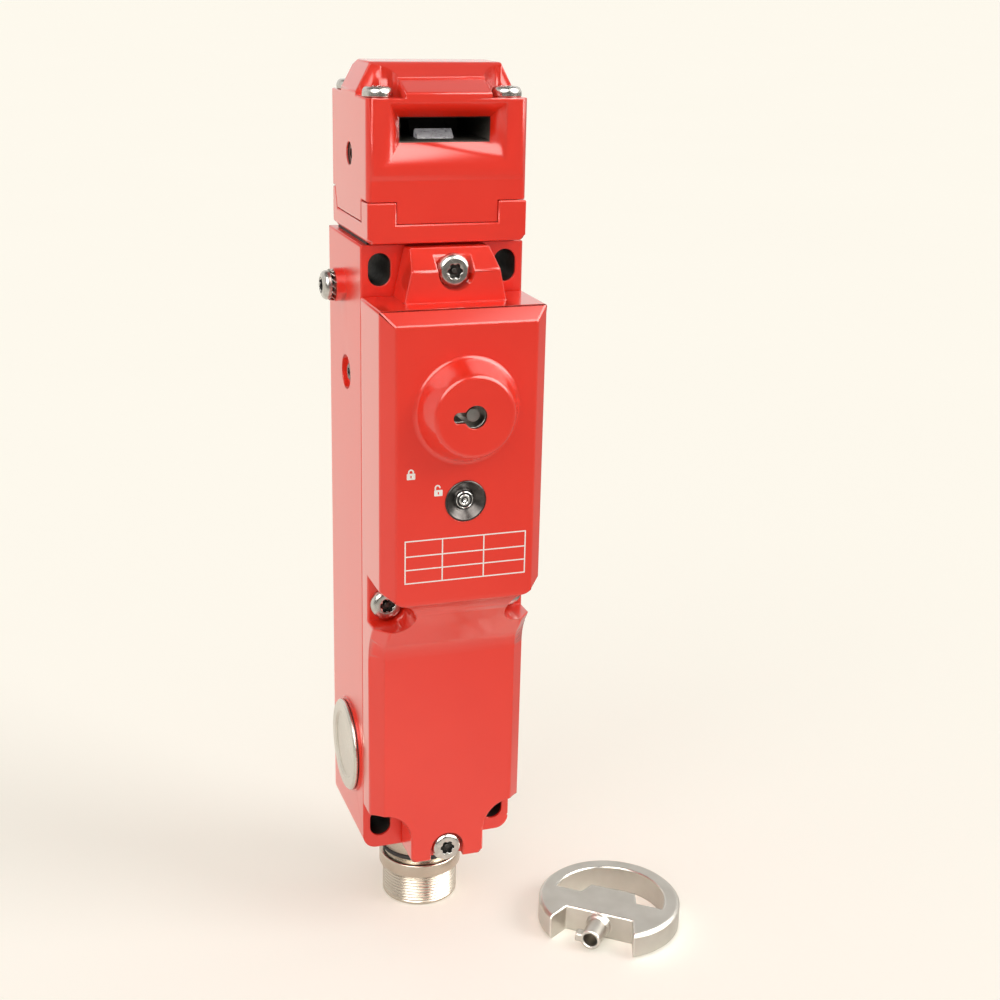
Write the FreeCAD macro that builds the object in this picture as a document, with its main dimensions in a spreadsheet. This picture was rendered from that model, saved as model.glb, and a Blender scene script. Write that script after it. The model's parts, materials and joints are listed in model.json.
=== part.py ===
import FreeCAD, Part
import math
import os
import Sketcher
from FreeCAD import Placement, Rotation, Vector

# Tongue interlock switch with solenoid guard locking, a turret head, a 23 mm round
# connector and its loose release key.
# Frame: X to the right, Y to the back, Z up, millimetres.  The origin is the centre of
# the connector's lower end, on which the switch stands.

SIZES = {
    # housing
    "body_width": 45.1,
    "body_height": 178.6,
    "body_base": 27.0,          # height of the housing's bottom face
    "front_reach": 17.65,       # axis to parting face
    "back_reach": 18.07,        # axis to back face
    "side_wall": 2.6,
    "back_wall": 3.0,
    "works_height": 178.6,      # housing top down to the datum of the works and the cover's step
    "cavity_lift": 19.0,        # housing bottom to cavity floor
    "cavity_drop": 16.6,        # housing top to cavity roof
    "top_wall": 4.0,
    "corner_round": 4.0,
    "edge_round": 0.8,
    # mounting slots
    "slot_width": 6.2,
    "slot_height": 8.8,
    "slot_span": 34.8,
    "slot_drop": 6.5,           # housing top to upper slot centres
    "slot_lift": 8.1,           # housing bottom to lower slot centres
    # conduit entries and their plugs
    "port_radius": 10.0,
    "port_lift": 26.9,
    "port_back": -1.95,
    "port_boss_radius": 14.2,
    "port_boss_height": 0.6,
    "plug_radius": 13.6,
    "plug_rim": 1.1,
    "plug_dish_radius": 10.2,
    "plug_dish_depth": 0.45,
    "plug_thread_length": 5.0,
    "plug_seal_thick": 0.35,
    # earthing screw and side screw
    "earth_drop": 13.8,
    "earth_back": 2.3,
    "earth_boss_radius": 4.6,
    "earth_boss_height": 2.6,
    "earth_washer_radius": 4.3,
    "earth_washer_thick": 0.9,
    "side_hole_drop": 37.6,
    "side_hole_back": -1.2,
    "side_hole_radius": 4.9,
    "side_hole_depth": 1.7,
    "side_screw_radius": 2.6,
    # cover
    "gasket_thick": 0.5,
    "gasket_inset": 0.7,
    "cover_proud": 0.15,        # cover stands proud of the housing on each side
    "block_depth": 22.35,       # parting face to the thick upper part's face
    "low_depth": 10.45,         # parting face to the lower part's face
    "block_drop": 13.5,         # housing top to top of the thick part
    "block_lift": 83.8,         # works datum to foot of the thick part
    "slope_lift": 67.5,         # works datum to foot of the slope
    "slope_round": 9.0,
    "cover_bevel": 3.6,
    "cover_wall": 3.2,
    "scoop_radius": 8.5,
    "scoop_lift": 7.4,
    "foot_tongue_half": 11.0,
    "cover_foot_drop": 0.8,     # cover tongue hangs below the housing's bottom
    "tongue_half": 11.0,
    "tongue_root_half": 13.9,
    "tongue_depth": 11.85,
    "tongue_crease_drop": 5.1,
    "tongue_lip_depth": 5.9,
    "mid_screw_span": 35.2,
    "mid_screw_lift": 80.5,     # works datum to the middle screws
    "mid_pocket_radius": 4.9,
    "mid_pocket_floor": 6.0,    # parting face to the pocket's floor
    "end_screw_drop": 5.6,
    "end_screw_lift": 2.7,
    "end_pocket_radius": 4.9,
    "end_pocket_floor": 8.0,
    # screws
    "screw_radius": 2.0,
    "screw_head_radius": 4.0,
    "screw_head_height": 2.6,
    "screw_socket_radius": 1.6,
    "screw_socket_depth": 1.3,
    "screw_reach": 16.0,
    "screw_room": 0.15,         # radial clearance round a screw shank
    # key boss and release rotor
    "key_drop": 39.8,
    "key_boss_base": 14.0,
    "key_boss_face": 10.8,
    "key_boss_height": 7.4,
    "key_face_wall": 1.6,
    "keyhole_radius": 3.1,
    "keyhole_lobe_radius": 1.5,
    "keyhole_lobe_offset": 4.5,
    "rotor_radius": 6.6,
    "rotor_length": 14.0,
    "rotor_pin_radius": 1.75,
    "rotor_socket_depth": 6.0,
    "rotor_shaft_radius": 3.0,
    "crank_radius": 2.8,
    "link_margin": 4.2,         # link's reach past the crank pin's circle
    "link_wall": 1.6,
    "link_foot": 2.0,
    "retainer_gap": 0.1,
    "retainer_thick": 1.5,
    "retainer_half": 8.0,
    "crank_pin_radius": 1.2,
    "crank_rim": 0.6,
    "release_angle": 65.0,
    "running_fit": 0.06,
    "seal_wire": 0.8,
    "seal_setback": 7.0,
    # indicator
    "led_drop": 64.7,
    "led_radius": 5.7,
    "led_lens_radius": 2.65,
    "led_depth": 4.4,
    "board_thick": 1.2,
    "board_half": 13.0,
    "board_height": 30.0,
    # head
    "head_width": 43.4,
    "head_front": 22.0,
    "head_back": 16.0,
    "head_seal_thick": 0.8,
    "base_thick": 4.9,
    "tab_height": 5.7,
    "tab_half": 13.9,
    "tab_front_depth": 6.6,
    "tab_back_depth": 2.6,
    "tab_slant": 3.3,
    "joint_gap": 0.15,
    "head_height": 31.9,        # base plate to the screw seats
    "front_rise": 1.4,          # screw seats to the front face's top edge
    "ledge_rise": 4.3,
    "ridge_rise": 8.3,
    "ridge_half": 17.8,
    "ridge_front": 9.0,
    "ridge_back": 3.0,
    "roof_front": 15.0,
    "roof_back": 9.6,
    "skirt_step": 0.5,
    "skirt_height": 11.6,
    "head_bevel": 1.5,
    "head_screw_half": 17.4,
    "head_screw_front": 16.0,
    "head_screw_back": 11.4,
    "head_pocket_radius": 5.8,
    "entry_width": 24.0,
    "entry_height": 5.8,
    "entry_rise": 23.8,         # base plate to the middle of the entry
    "entry_depth": 31.0,
    "funnel_depth": 4.0,
    "funnel_side": 3.8,
    "funnel_up": 4.1,
    "funnel_down": 4.9,
    # head mechanism
    "cam_back": -3.0,
    "cam_rise": 16.4,           # base plate to the cam's axle
    "cam_width": 10.0,
    "cam_room": 0.5,
    "cam_lobe": 10.0,
    "cam_low": 6.0,
    "cam_tooth": 8.6,
    "cam_hub": 4.6,
    "cam_turn": 65.0,
    "axle_radius": 2.2,
    "axle_inset": 2.2,
    "axle_head_inset": 0.6,
    "axle_socket_radius": 1.3,
    "axle_socket_depth": 1.2,
    "axle_hole_radius": 3.1,
    "plunger_radius": 2.5,
    "plunger_gap": 0.35,
    "plunger_flat": 0.2,
    "plunger_collar_radius": 4.8,
    "plunger_collar_height": 1.5,
    "plunger_chamber_radius": 6.0,
    "bush_radius": 4.4,
    # contact block
    "block_half": 15.0,
    "contact_block_height": 26.0,
    "block_roof_drop": 18.2,    # housing top to the contact block's top
    "block_rear": 14.6,
    "carrier_half": 4.5,
    "carrier_depth": 10.0,
    "carrier_gap": 0.3,
    "bridge_half": 10.6,
    "bridge_thick": 0.9,
    "bridge_wide": 3.0,
    "contact_pitch": 11.0,
    "shelf_thick": 2.5,
    "spring_wire": 0.8,
    "spring_radius": 3.9,
    # solenoid
    "solenoid_lift": 50.0,      # works datum to the frame's bottom
    "solenoid_height": 54.0,
    "solenoid_half": 12.9,
    "solenoid_plate": 2.5,
    "solenoid_front": -14.4,
    "solenoid_depth": 24.0,
    "coil_radius": 10.2,
    "bobbin_wall": 1.2,
    "bobbin_core": 5.6,
    "armature_radius": 4.4,
    "armature_stroke": 3.0,
    "armature_spring_length": 14.0,
    "stem_radius": 1.8,
    # lock lever
    "lever_pivot_back": 4.4,
    "lever_nose": 8.4,
    "lever_drop": 2.2,          # free height between the lever's nose and the carrier's shelf
    "lever_thick": 1.4,
    "lever_hub": 2.2,
    "lever_pin_radius": 1.2,
    "lever_half": 4.0,
    "stem_waist": 1.0,
    "groove_room": 1.15,        # play of the lever's arm in the stem's groove, each way
    # connector
    "connector_radius": 11.5,
    "thread_height": 10.2,
    "collar_radius": 12.6,
    "collar_height": 4.1,
    "ring_height": 1.6,
    "ring_radius": 12.1,
    "neck_radius": 11.9,
    "connector_bore": 9.7,
    "insert_face": 9.2,
    "insert_length": 16.0,
    "pin_root": 12.0,           # length of a contact inside the insert
    "pin_radius": 0.55,
    "pin_length": 4.6,
    "pin_circle": 6.3,
    "pin_inner_circle": 2.4,
    "stub_radius": 9.2,
    "stub_length": 9.0,
    # release key
    "key_radius": 21.4,
    "key_thick": 8.0,
    "key_opening": 16.8,
    "key_bar": 0.6,
    "key_bump_half": 8.8,
    "key_bump_tip": 6.9,
    "key_bump_height": 4.9,
    "key_notch_root": 9.8,
    "key_notch_half": 10.4,
    "key_notch_mouth": 14.6,
    "barrel_radius": 3.0,
    "barrel_bore": 2.2,
    "barrel_reach": 18.6,
    "lug_length": 2.9,
    "lug_rise": 4.7,
    "lug_thick": 2.3,
    "key_right": 49.7,
    "key_front": 35.3,
    "key_angle": 230.1,
}

doc = FreeCAD.newDocument("interlock_switch")
sheet = doc.addObject("Spreadsheet::Sheet", "dims")
pieces = []


def number(size):
    """The plain number of a size or of a number."""
    return size.value if isinstance(size, Size) else float(size)


def formula(size):
    """The sheet formula of a size or of a number."""
    return size.text if isinstance(size, Size) else repr(float(size))


def combine(first, sign, second):
    """The size that two sizes give under one of + - * /."""
    a = number(first)
    b = number(second)
    value = {"+": a + b, "-": a - b, "*": a * b}.get(sign)
    if value is None:
        value = a / b
    return Size(value, "(%s %s %s)" % (formula(first), sign, formula(second)))


class Size:
    """A cell of the sheet, or a size worked out from cells: its number and its formula."""

    def __init__(self, value, text):
        self.value = value
        self.text = text

    def __add__(self, other):
        return combine(self, "+", other)

    def __radd__(self, other):
        return combine(other, "+", self)

    def __sub__(self, other):
        return combine(self, "-", other)

    def __rsub__(self, other):
        return combine(other, "-", self)

    def __mul__(self, other):
        return combine(self, "*", other)

    def __rmul__(self, other):
        return combine(other, "*", self)

    def __truediv__(self, other):
        return combine(self, "/", other)

    def __neg__(self):
        return combine(0.0, "-", self)


class Sheet:
    """The driving sizes as attributes, each written once to a cell with an alias."""

    def __init__(self, sizes):
        for row, (name, value) in enumerate(sizes.items(), start=1):
            sheet.set("A%d" % row, name)
            sheet.set("B%d" % row, str(value))
            sheet.setAlias("B%d" % row, name)
            setattr(self, name, Size(value, "dims." + name))


d = Sheet(SIZES)
doc.recompute()


def bind(item, prop, size):
    """Ties a property to the sheet."""
    item.setExpression(prop, formula(size))


def keep(item, label):
    """Names a finished sub-part and lists it for export."""
    item.Label = label
    pieces.append(item)
    return item


# ---------------------------------------------------------------- sketches and features

PLANES = {"front": "XZ_Plane", "side": "YZ_Plane", "level": "XY_Plane"}


def new_body(name):
    body = doc.addObject("PartDesign::Body", name)
    body.AllowCompound = True
    return body


def sketch_on(body, plane, offset, shift_u=0.0, shift_v=0.0):
    """A sketch on a plane of the body: front (X, Z), side (Y, Z) or level (X, Y)."""
    sketch = body.newObject("Sketcher::SketchObject", body.Name + "_sketch")
    role = PLANES[plane]
    origin_plane = [item for item in body.Origin.OriginFeatures if item.Role == role][0]
    sketch.AttachmentSupport = [(origin_plane, "")]
    sketch.MapMode = "FlatFace"
    along_normal = -1.0 * offset if plane == "front" else 1.0 * offset
    bind(sketch, "AttachmentOffset.Base.x", shift_u)
    bind(sketch, "AttachmentOffset.Base.y", shift_v)
    bind(sketch, "AttachmentOffset.Base.z", along_normal)
    return sketch


def place(sketch, geometry, point, u, v):
    """Ties one point of a sketch to its coordinates."""
    for kind, size in (("DistanceX", u), ("DistanceY", v)):
        index = sketch.addConstraint(
            Sketcher.Constraint(kind, -1, 1, geometry, point, number(size)))
        if isinstance(size, Size):
            sketch.setExpression("Constraints[%d]" % index, formula(size))


def polygon(sketch, corners):
    """A closed outline of straight edges."""
    points = [Vector(number(u), number(v), 0) for u, v in corners]
    count = len(points)
    lines = [Part.LineSegment(points[i], points[(i + 1) % count]) for i in range(count)]
    first = sketch.GeometryCount
    sketch.addGeometry(lines, False)
    for i in range(count):
        following = first + (i + 1) % count
        sketch.addConstraint(Sketcher.Constraint("Coincident", first + i, 2, following, 1))
    for i, (u, v) in enumerate(corners):
        place(sketch, first + i, 1, u, v)


def rectangle(sketch, left, low, right, high):
    polygon(sketch, [(left, low), (right, low), (right, high), (left, high)])


def circle(sketch, u, v, radius):
    centre = Vector(number(u), number(v), 0)
    index = sketch.addGeometry(Part.Circle(centre, Vector(0, 0, 1), number(radius)), False)
    place(sketch, index, 3, u, v)
    tie = sketch.addConstraint(Sketcher.Constraint("Radius", index, number(radius)))
    bind(sketch, "Constraints[%d]" % tie, radius)


def obround(sketch, u, v, width, height):
    """A slot with round ends, longer along V."""
    radius = width / 2
    reach = (height - width) / 2
    x, y = number(u), number(v)
    r, h = number(radius), number(reach)
    normal = Vector(0, 0, 1)
    upper = Part.ArcOfCircle(Part.Circle(Vector(x, y + h, 0), normal, r), 0, math.pi)
    lower = Part.ArcOfCircle(Part.Circle(Vector(x, y - h, 0), normal, r), math.pi, 2 * math.pi)
    left = Part.LineSegment(Vector(x - r, y + h, 0), Vector(x - r, y - h, 0))
    right = Part.LineSegment(Vector(x + r, y - h, 0), Vector(x + r, y + h, 0))
    a, b, c, e = sketch.addGeometry([upper, left, lower, right], False)
    for one, end, two, start in ((a, 2, b, 1), (b, 2, c, 1), (c, 2, e, 1), (e, 2, a, 1)):
        sketch.addConstraint(Sketcher.Constraint("Tangent", one, end, two, start))
    place(sketch, a, 3, u, v + reach)
    place(sketch, c, 3, u, v - reach)
    tie = sketch.addConstraint(Sketcher.Constraint("Radius", a, r))
    bind(sketch, "Constraints[%d]" % tie, radius)


def grow(body, kind, sketch, length, both=False, flip=False):
    """A Pad or a Pocket of a sketch."""
    feature = body.newObject("PartDesign::" + kind, body.Name + "_" + kind.lower())
    feature.Profile = sketch
    bind(feature, "Length", length)
    if both:
        feature.SideType = "Symmetric"
    feature.Reversed = flip
    body.Tip = feature
    return feature


def turn(body, kind, sketch, axis="V_Axis"):
    """A Revolution or a Groove of a sketch about one of its own axes."""
    feature = body.newObject("PartDesign::" + kind, body.Name + "_" + kind.lower())
    feature.Profile = sketch
    feature.ReferenceAxis = (sketch, [axis])
    feature.Angle = 360
    body.Tip = feature
    return feature


def dress(body, kind, size, chosen):
    """A Fillet or a Chamfer on the edges that a test picks."""
    doc.recompute()
    base = body.Tip
    names = ["Edge%d" % i for i, edge in enumerate(base.Shape.Edges, start=1) if chosen(edge)]
    feature = body.newObject("PartDesign::" + kind, body.Name + "_" + kind.lower())
    feature.Base = (base, names)
    bind(feature, "Radius" if kind == "Fillet" else "Size", size)
    body.Tip = feature
    return feature


def runs_along(edge, axis):
    """Whether an edge is straight and parallel to an axis."""
    if edge.Curve.TypeId != "Part::GeomLine":
        return False
    way = edge.tangentAt(edge.FirstParameter)
    return abs(abs(way.dot(axis)) - 1) < 1e-4


def near(value, size, slack=0.05):
    return abs(value - number(size)) < slack


AXIS_X = Vector(1, 0, 0)
AXIS_Y = Vector(0, 1, 0)
AXIS_Z = Vector(0, 0, 1)


# ---------------------------------------------------------------- plain primitives

def block(name, low, high):
    """A Part::Box between two opposite corners."""
    item = doc.addObject("Part::Box", name)
    for prop, a, b in zip(("Length", "Width", "Height"), low, high):
        bind(item, prop, b - a)
    for axis, a in zip("xyz", low):
        bind(item, "Placement.Base." + axis, a)
    return item


TURNS = {
    "x": Rotation(AXIS_Y, 90),
    "y": Rotation(AXIS_X, -90),
    "z": Rotation(),
}


def rod(name, radius, length, base, axis="z"):
    """A Part::Cylinder that starts at base and runs along an axis."""
    item = doc.addObject("Part::Cylinder", name)
    bind(item, "Radius", radius)
    bind(item, "Height", length)
    item.Placement = Placement(Vector(), TURNS[axis])
    for letter, a in zip("xyz", base):
        bind(item, "Placement.Base." + letter, a)
    return item


def fuse(name, items):
    item = doc.addObject("Part::MultiFuse", name)
    item.Shapes = items
    return item


def group(name, items):
    item = doc.addObject("Part::Compound", name)
    item.Links = items
    return item


def cut(name, base, tools):
    item = doc.addObject("Part::Cut", name)
    item.Base = base
    item.Tool = tools[0] if len(tools) == 1 else fuse(name + "_tools", tools)
    return item


# ---------------------------------------------------------------- shared places

half = d.body_width / 2
bottom = d.body_base
top = d.body_base + d.body_height
works = top - d.works_height
front = -d.front_reach
back = d.back_reach
cavity_half = half - d.side_wall
cavity_low = bottom + d.cavity_lift
cavity_high = top - d.cavity_drop
cavity_back = back - d.back_wall
slot_x = d.slot_span / 2
slot_low = bottom + d.slot_lift
slot_high = top - d.slot_drop
port_z = bottom + d.port_lift
earth_z = top - d.earth_drop
side_hole_z = top - d.side_hole_drop
seam = front - d.gasket_thick
block_face = seam - d.block_depth
low_face = seam - d.low_depth
block_top = top - d.block_drop
block_foot = works + d.block_lift
slope_foot = works + d.slope_lift
mid_x = d.mid_screw_span / 2
mid_z = works + d.mid_screw_lift
end_high = top - d.end_screw_drop
end_low = bottom + d.end_screw_lift
key_z = top - d.key_drop
key_face = block_face - d.key_boss_height
led_z = top - d.led_drop
base_low = top + d.head_seal_thick
base_high = base_low + d.base_thick
head_seat = base_high + d.head_height
head_half = d.head_width / 2
cam_z = base_high + d.cam_rise
entry_z = base_high + d.entry_rise
contact_top = top - d.block_roof_drop
contact_low = contact_top - d.contact_block_height
frame_low = works + d.solenoid_lift
frame_high = frame_low + d.solenoid_height
frame_back = d.solenoid_front + d.solenoid_depth
coil_y = d.solenoid_front + d.solenoid_depth / 2
rotor_front = key_face + d.key_face_wall
rotor_rear = rotor_front + d.rotor_length


# ---------------------------------------------------------------- housing and cover

def housing():
    body = new_body("housing")
    plan = sketch_on(body, "front", back)
    rectangle(plan, -half, bottom, half, top)
    grow(body, "Pad", plan, back - front)
    dress(body, "Fillet", d.corner_round,
          lambda e: runs_along(e, AXIS_Y) and near(e.CenterOfMass.z, bottom))
    dress(body, "Fillet", d.edge_round,
          lambda e: runs_along(e, AXIS_Z) and near(e.CenterOfMass.y, back))
    side_bosses(body)
    room = sketch_on(body, "front", front)
    rectangle(room, -cavity_half, cavity_low, cavity_half, cavity_high)
    grow(body, "Pocket", room, d.front_reach + cavity_back)
    posts = sketch_on(body, "front", cavity_back)
    for side in (-1, 1):
        circle(posts, side * mid_x, mid_z, d.screw_radius * 2)
    grow(body, "Pad", posts, cavity_back - front)
    slots = sketch_on(body, "front", front)
    for side in (-1, 1):
        for z in (slot_low, slot_high):
            obround(slots, side * slot_x, z, d.slot_width, d.slot_height)
    grow(body, "Pocket", slots, back - front)
    threads = sketch_on(body, "front", front)
    for x, z in ((-mid_x, mid_z), (mid_x, mid_z)):
        circle(threads, x, z, d.screw_radius)
    grow(body, "Pocket", threads, d.screw_reach - d.mid_pocket_floor - d.gasket_thick)
    ends = sketch_on(body, "front", front)
    for z in (end_high, end_low):
        circle(ends, 0.0, z, d.screw_radius)
    grow(body, "Pocket", ends, d.screw_reach - d.end_pocket_floor - d.gasket_thick)
    chamber = sketch_on(body, "level", top - d.top_wall)
    circle(chamber, 0.0, d.cam_back, d.plunger_chamber_radius)
    grow(body, "Pocket", chamber, d.cavity_drop - d.top_wall)
    collar = sketch_on(body, "level", top)
    circle(collar, 0.0, d.cam_back, d.bush_radius)
    grow(body, "Pocket", collar, d.top_wall)
    cable_way = sketch_on(body, "level", cavity_low)
    circle(cable_way, 0.0, 0.0, d.stub_radius)
    grow(body, "Pocket", cable_way, d.cavity_lift)
    side_holes(body)
    return keep(body, "housing")


def side_bosses(body):
    """Raised rounds on the sides: one at each conduit entry, one at the earthing screw."""
    for side in (-1, 1):
        port = sketch_on(body, "side", side * half)
        circle(port, d.port_back, port_z, d.port_boss_radius)
        grow(body, "Pad", port, d.port_boss_height, flip=side < 0)
    earth = sketch_on(body, "side", -half)
    circle(earth, d.earth_back, earth_z, d.earth_boss_radius)
    grow(body, "Pad", earth, d.earth_boss_height, flip=True)


def side_holes(body):
    """Conduit entries right through both sides, and the two screw holes on the left."""
    reach = half + d.port_boss_height
    port = sketch_on(body, "side", reach)
    circle(port, d.port_back, port_z, d.port_radius)
    grow(body, "Pocket", port, reach * 2)
    earth = sketch_on(body, "side", -half - d.earth_boss_height)
    circle(earth, d.earth_back, earth_z, d.screw_radius)
    grow(body, "Pocket", earth, d.earth_boss_height + d.side_wall * 2, flip=True)
    recess = sketch_on(body, "side", -half)
    circle(recess, d.side_hole_back, side_hole_z, d.side_hole_radius)
    grow(body, "Pocket", recess, d.side_hole_depth, flip=True)
    screw = sketch_on(body, "side", -half)
    circle(screw, d.side_hole_back, side_hole_z, d.side_screw_radius / 2)
    grow(body, "Pocket", screw, d.side_wall, flip=True)


def cover():
    body = new_body("cover")
    width = d.body_width + 2 * d.cover_proud
    edge = width / 2
    foot = bottom - d.cover_foot_drop
    profile = sketch_on(body, "side", 0.0)
    polygon(profile, [(seam, foot), (seam, block_top), (block_face, block_top),
                      (block_face, block_foot), (low_face, slope_foot), (low_face, foot)])
    grow(body, "Pad", profile, width, both=True)
    dress(body, "Fillet", d.slope_round,
          lambda e: runs_along(e, AXIS_X) and (near(e.CenterOfMass.z, block_foot)
                                               or near(e.CenterOfMass.z, slope_foot)))
    dress(body, "Chamfer", d.cover_bevel,
          lambda e: number(low_face) + 0.01 > e.CenterOfMass.y and e.CenterOfMass.z > number(foot) + 1
          and (not runs_along(e, AXIS_X) and not runs_along(e, AXIS_Y)
               or runs_along(e, AXIS_X) and near(e.CenterOfMass.z, block_top)))
    dress(body, "Fillet", d.edge_round,
          lambda e: near(e.CenterOfMass.z, block_top) and runs_along(e, AXIS_Y))
    cover_tongue(body)
    key_boss(body)
    cover_notches(body, edge, foot)
    cover_screw_holes(body)
    cover_rooms(body)
    return keep(body, "cover")


def cover_tongue(body):
    """The narrow tab above the thick part, with a sloping top and flared sides."""
    tongue_face = seam - d.tongue_depth
    crease = top - d.tongue_crease_drop
    profile = sketch_on(body, "side", 0.0)
    polygon(profile, [(seam, block_top - d.cover_wall), (seam, top), (seam - d.tongue_lip_depth, top),
                      (tongue_face, crease), (tongue_face, block_top - d.cover_wall)])
    grow(body, "Pad", profile, d.tongue_root_half * 2, both=True)
    flare = sketch_on(body, "front", tongue_face)
    for side in (-1, 1):
        outer = side * (d.tongue_root_half + 1.0)
        polygon(flare, [(side * d.tongue_half, top), (side * d.tongue_root_half, block_top),
                        (outer, block_top), (outer, top + 1.0), (side * d.tongue_half, top + 1.0)])
    grow(body, "Pocket", flare, d.tongue_depth)


def key_boss(body):
    """The turned boss round the keyhole, with its root and rim rounded."""
    boss = sketch_on(body, "level", key_z)
    sunk = block_face + d.cover_wall
    polygon(boss, [(0.0, sunk), (d.key_boss_base, sunk), (d.key_boss_base, block_face),
                   (d.key_boss_face, key_face), (0.0, key_face)])
    turn(body, "Revolution", boss)
    dress(body, "Fillet", d.slope_round / 6,
          lambda e: e.Curve.TypeId == "Part::GeomCircle" and
          (near(e.Curve.Radius, d.key_boss_face) and near(e.CenterOfMass.y, key_face)
           or near(e.Curve.Radius, d.key_boss_base) and near(e.CenterOfMass.y, block_face)))


def cover_notches(body, edge, foot):
    """Scoops round the lower mounting slots and the open pockets of the middle screws."""
    outer = edge + 1.0
    scoop_z = bottom + d.scoop_lift
    scoops = sketch_on(body, "front", low_face)
    for side in (-1, 1):
        circle(scoops, side * (d.foot_tongue_half + d.scoop_radius), scoop_z, d.scoop_radius)
    grow(body, "Pocket", scoops, d.low_depth)
    corners = sketch_on(body, "front", low_face)
    for side in (-1, 1):
        polygon(corners, [(side * d.foot_tongue_half, scoop_z), (side * outer, scoop_z),
                          (side * outer, foot - 1.0), (side * d.foot_tongue_half, foot - 1.0)])
    grow(body, "Pocket", corners, d.low_depth)
    pocket_depth = d.block_depth - d.mid_pocket_floor
    rounds = sketch_on(body, "front", block_face)
    for side in (-1, 1):
        circle(rounds, side * mid_x, mid_z, d.mid_pocket_radius)
    grow(body, "Pocket", rounds, pocket_depth)
    flares = sketch_on(body, "front", block_face)
    high = mid_z + d.mid_pocket_radius
    low = mid_z - d.mid_pocket_radius
    for side in (-1, 1):
        polygon(flares, [(side * mid_x, low), (side * outer, low), (side * outer, high + 4.0),
                         (side * mid_x, high)])
    grow(body, "Pocket", flares, pocket_depth)


def cover_screw_holes(body):
    """Head recesses at both ends and a clearance hole at each of the four screws."""
    tall = d.end_pocket_radius
    for z, ending, face in ((end_high, top + 1.0, seam - d.tongue_depth),
                            (end_low, bottom - d.cover_foot_drop - 1.0, low_face)):
        deep = seam - d.end_pocket_floor - face
        ring = sketch_on(body, "front", face)
        circle(ring, 0.0, z, tall)
        grow(body, "Pocket", ring, deep)
        mouth = sketch_on(body, "front", face)
        rectangle(mouth, -tall, z, tall, ending)
        grow(body, "Pocket", mouth, deep)
    holes = sketch_on(body, "front", low_face)
    for x, z in ((0.0, end_high), (0.0, end_low), (-mid_x, mid_z), (mid_x, mid_z)):
        circle(holes, x, z, d.screw_radius + d.screw_room)
    grow(body, "Pocket", holes, d.low_depth)


def cover_rooms(body):
    """Hollow inside of the cover, the rotor's bore with its keyhole, the indicator hole."""
    room_half = half - d.cover_bevel
    deep_room = sketch_on(body, "front", seam)
    rectangle(deep_room, -room_half, mid_z + d.mid_pocket_radius + 2 * d.cover_wall,
              room_half, block_top - d.cover_wall)
    grow(body, "Pocket", deep_room, d.block_depth - d.cover_wall, flip=True)
    low_room = sketch_on(body, "front", seam)
    rectangle(low_room, -room_half, cavity_low, room_half, slope_foot - d.cover_wall)
    grow(body, "Pocket", low_room, d.low_depth - d.cover_wall, flip=True)
    neck = sketch_on(body, "front", seam)
    neck_half = mid_x - d.mid_pocket_radius - d.cover_wall / 2
    rectangle(neck, -neck_half, slope_foot - d.cover_wall - 1.0,
              neck_half, mid_z + d.mid_pocket_radius + 2 * d.cover_wall + 1.0)
    grow(body, "Pocket", neck, d.low_depth - d.cover_wall, flip=True)
    bore = sketch_on(body, "front", seam)
    circle(bore, 0.0, key_z, d.rotor_radius + d.running_fit)
    grow(body, "Pocket", bore, seam - rotor_front, flip=True)
    keyhole = sketch_on(body, "front", key_face)
    circle(keyhole, 0.0, key_z, d.keyhole_radius)
    grow(body, "Pocket", keyhole, d.key_face_wall)
    lobe = sketch_on(body, "front", key_face)
    obround_across(lobe, -d.keyhole_lobe_offset, key_z, d.keyhole_lobe_radius)
    grow(body, "Pocket", lobe, d.key_face_wall)
    lamp = sketch_on(body, "front", block_face)
    circle(lamp, 0.0, led_z, d.led_radius)
    grow(body, "Pocket", lamp, d.cover_wall)


def obround_across(sketch, far, v, radius):
    """A slot from the sketch's middle line to a round end at U = far (far is negative)."""
    x, y, r = number(far), number(v), number(radius)
    end = Part.ArcOfCircle(Part.Circle(Vector(x, y, 0), Vector(0, 0, 1), r),
                           math.pi / 2, 3 * math.pi / 2)
    lower = Part.LineSegment(Vector(x, y - r, 0), Vector(0, y - r, 0))
    side = Part.LineSegment(Vector(0, y - r, 0), Vector(0, y + r, 0))
    upper = Part.LineSegment(Vector(0, y + r, 0), Vector(x, y + r, 0))
    a, b, c, e = sketch.addGeometry([end, lower, side, upper], False)
    sketch.addConstraint(Sketcher.Constraint("Tangent", a, 2, b, 1))
    sketch.addConstraint(Sketcher.Constraint("Coincident", b, 2, c, 1))
    sketch.addConstraint(Sketcher.Constraint("Coincident", c, 2, e, 1))
    sketch.addConstraint(Sketcher.Constraint("Tangent", e, 2, a, 1))
    place(sketch, a, 3, far, v)
    place(sketch, b, 2, 0.0, v - radius)
    place(sketch, c, 2, 0.0, v + radius)
    tie = sketch.addConstraint(Sketcher.Constraint("Radius", a, r))
    bind(sketch, "Constraints[%d]" % tie, radius)


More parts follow.
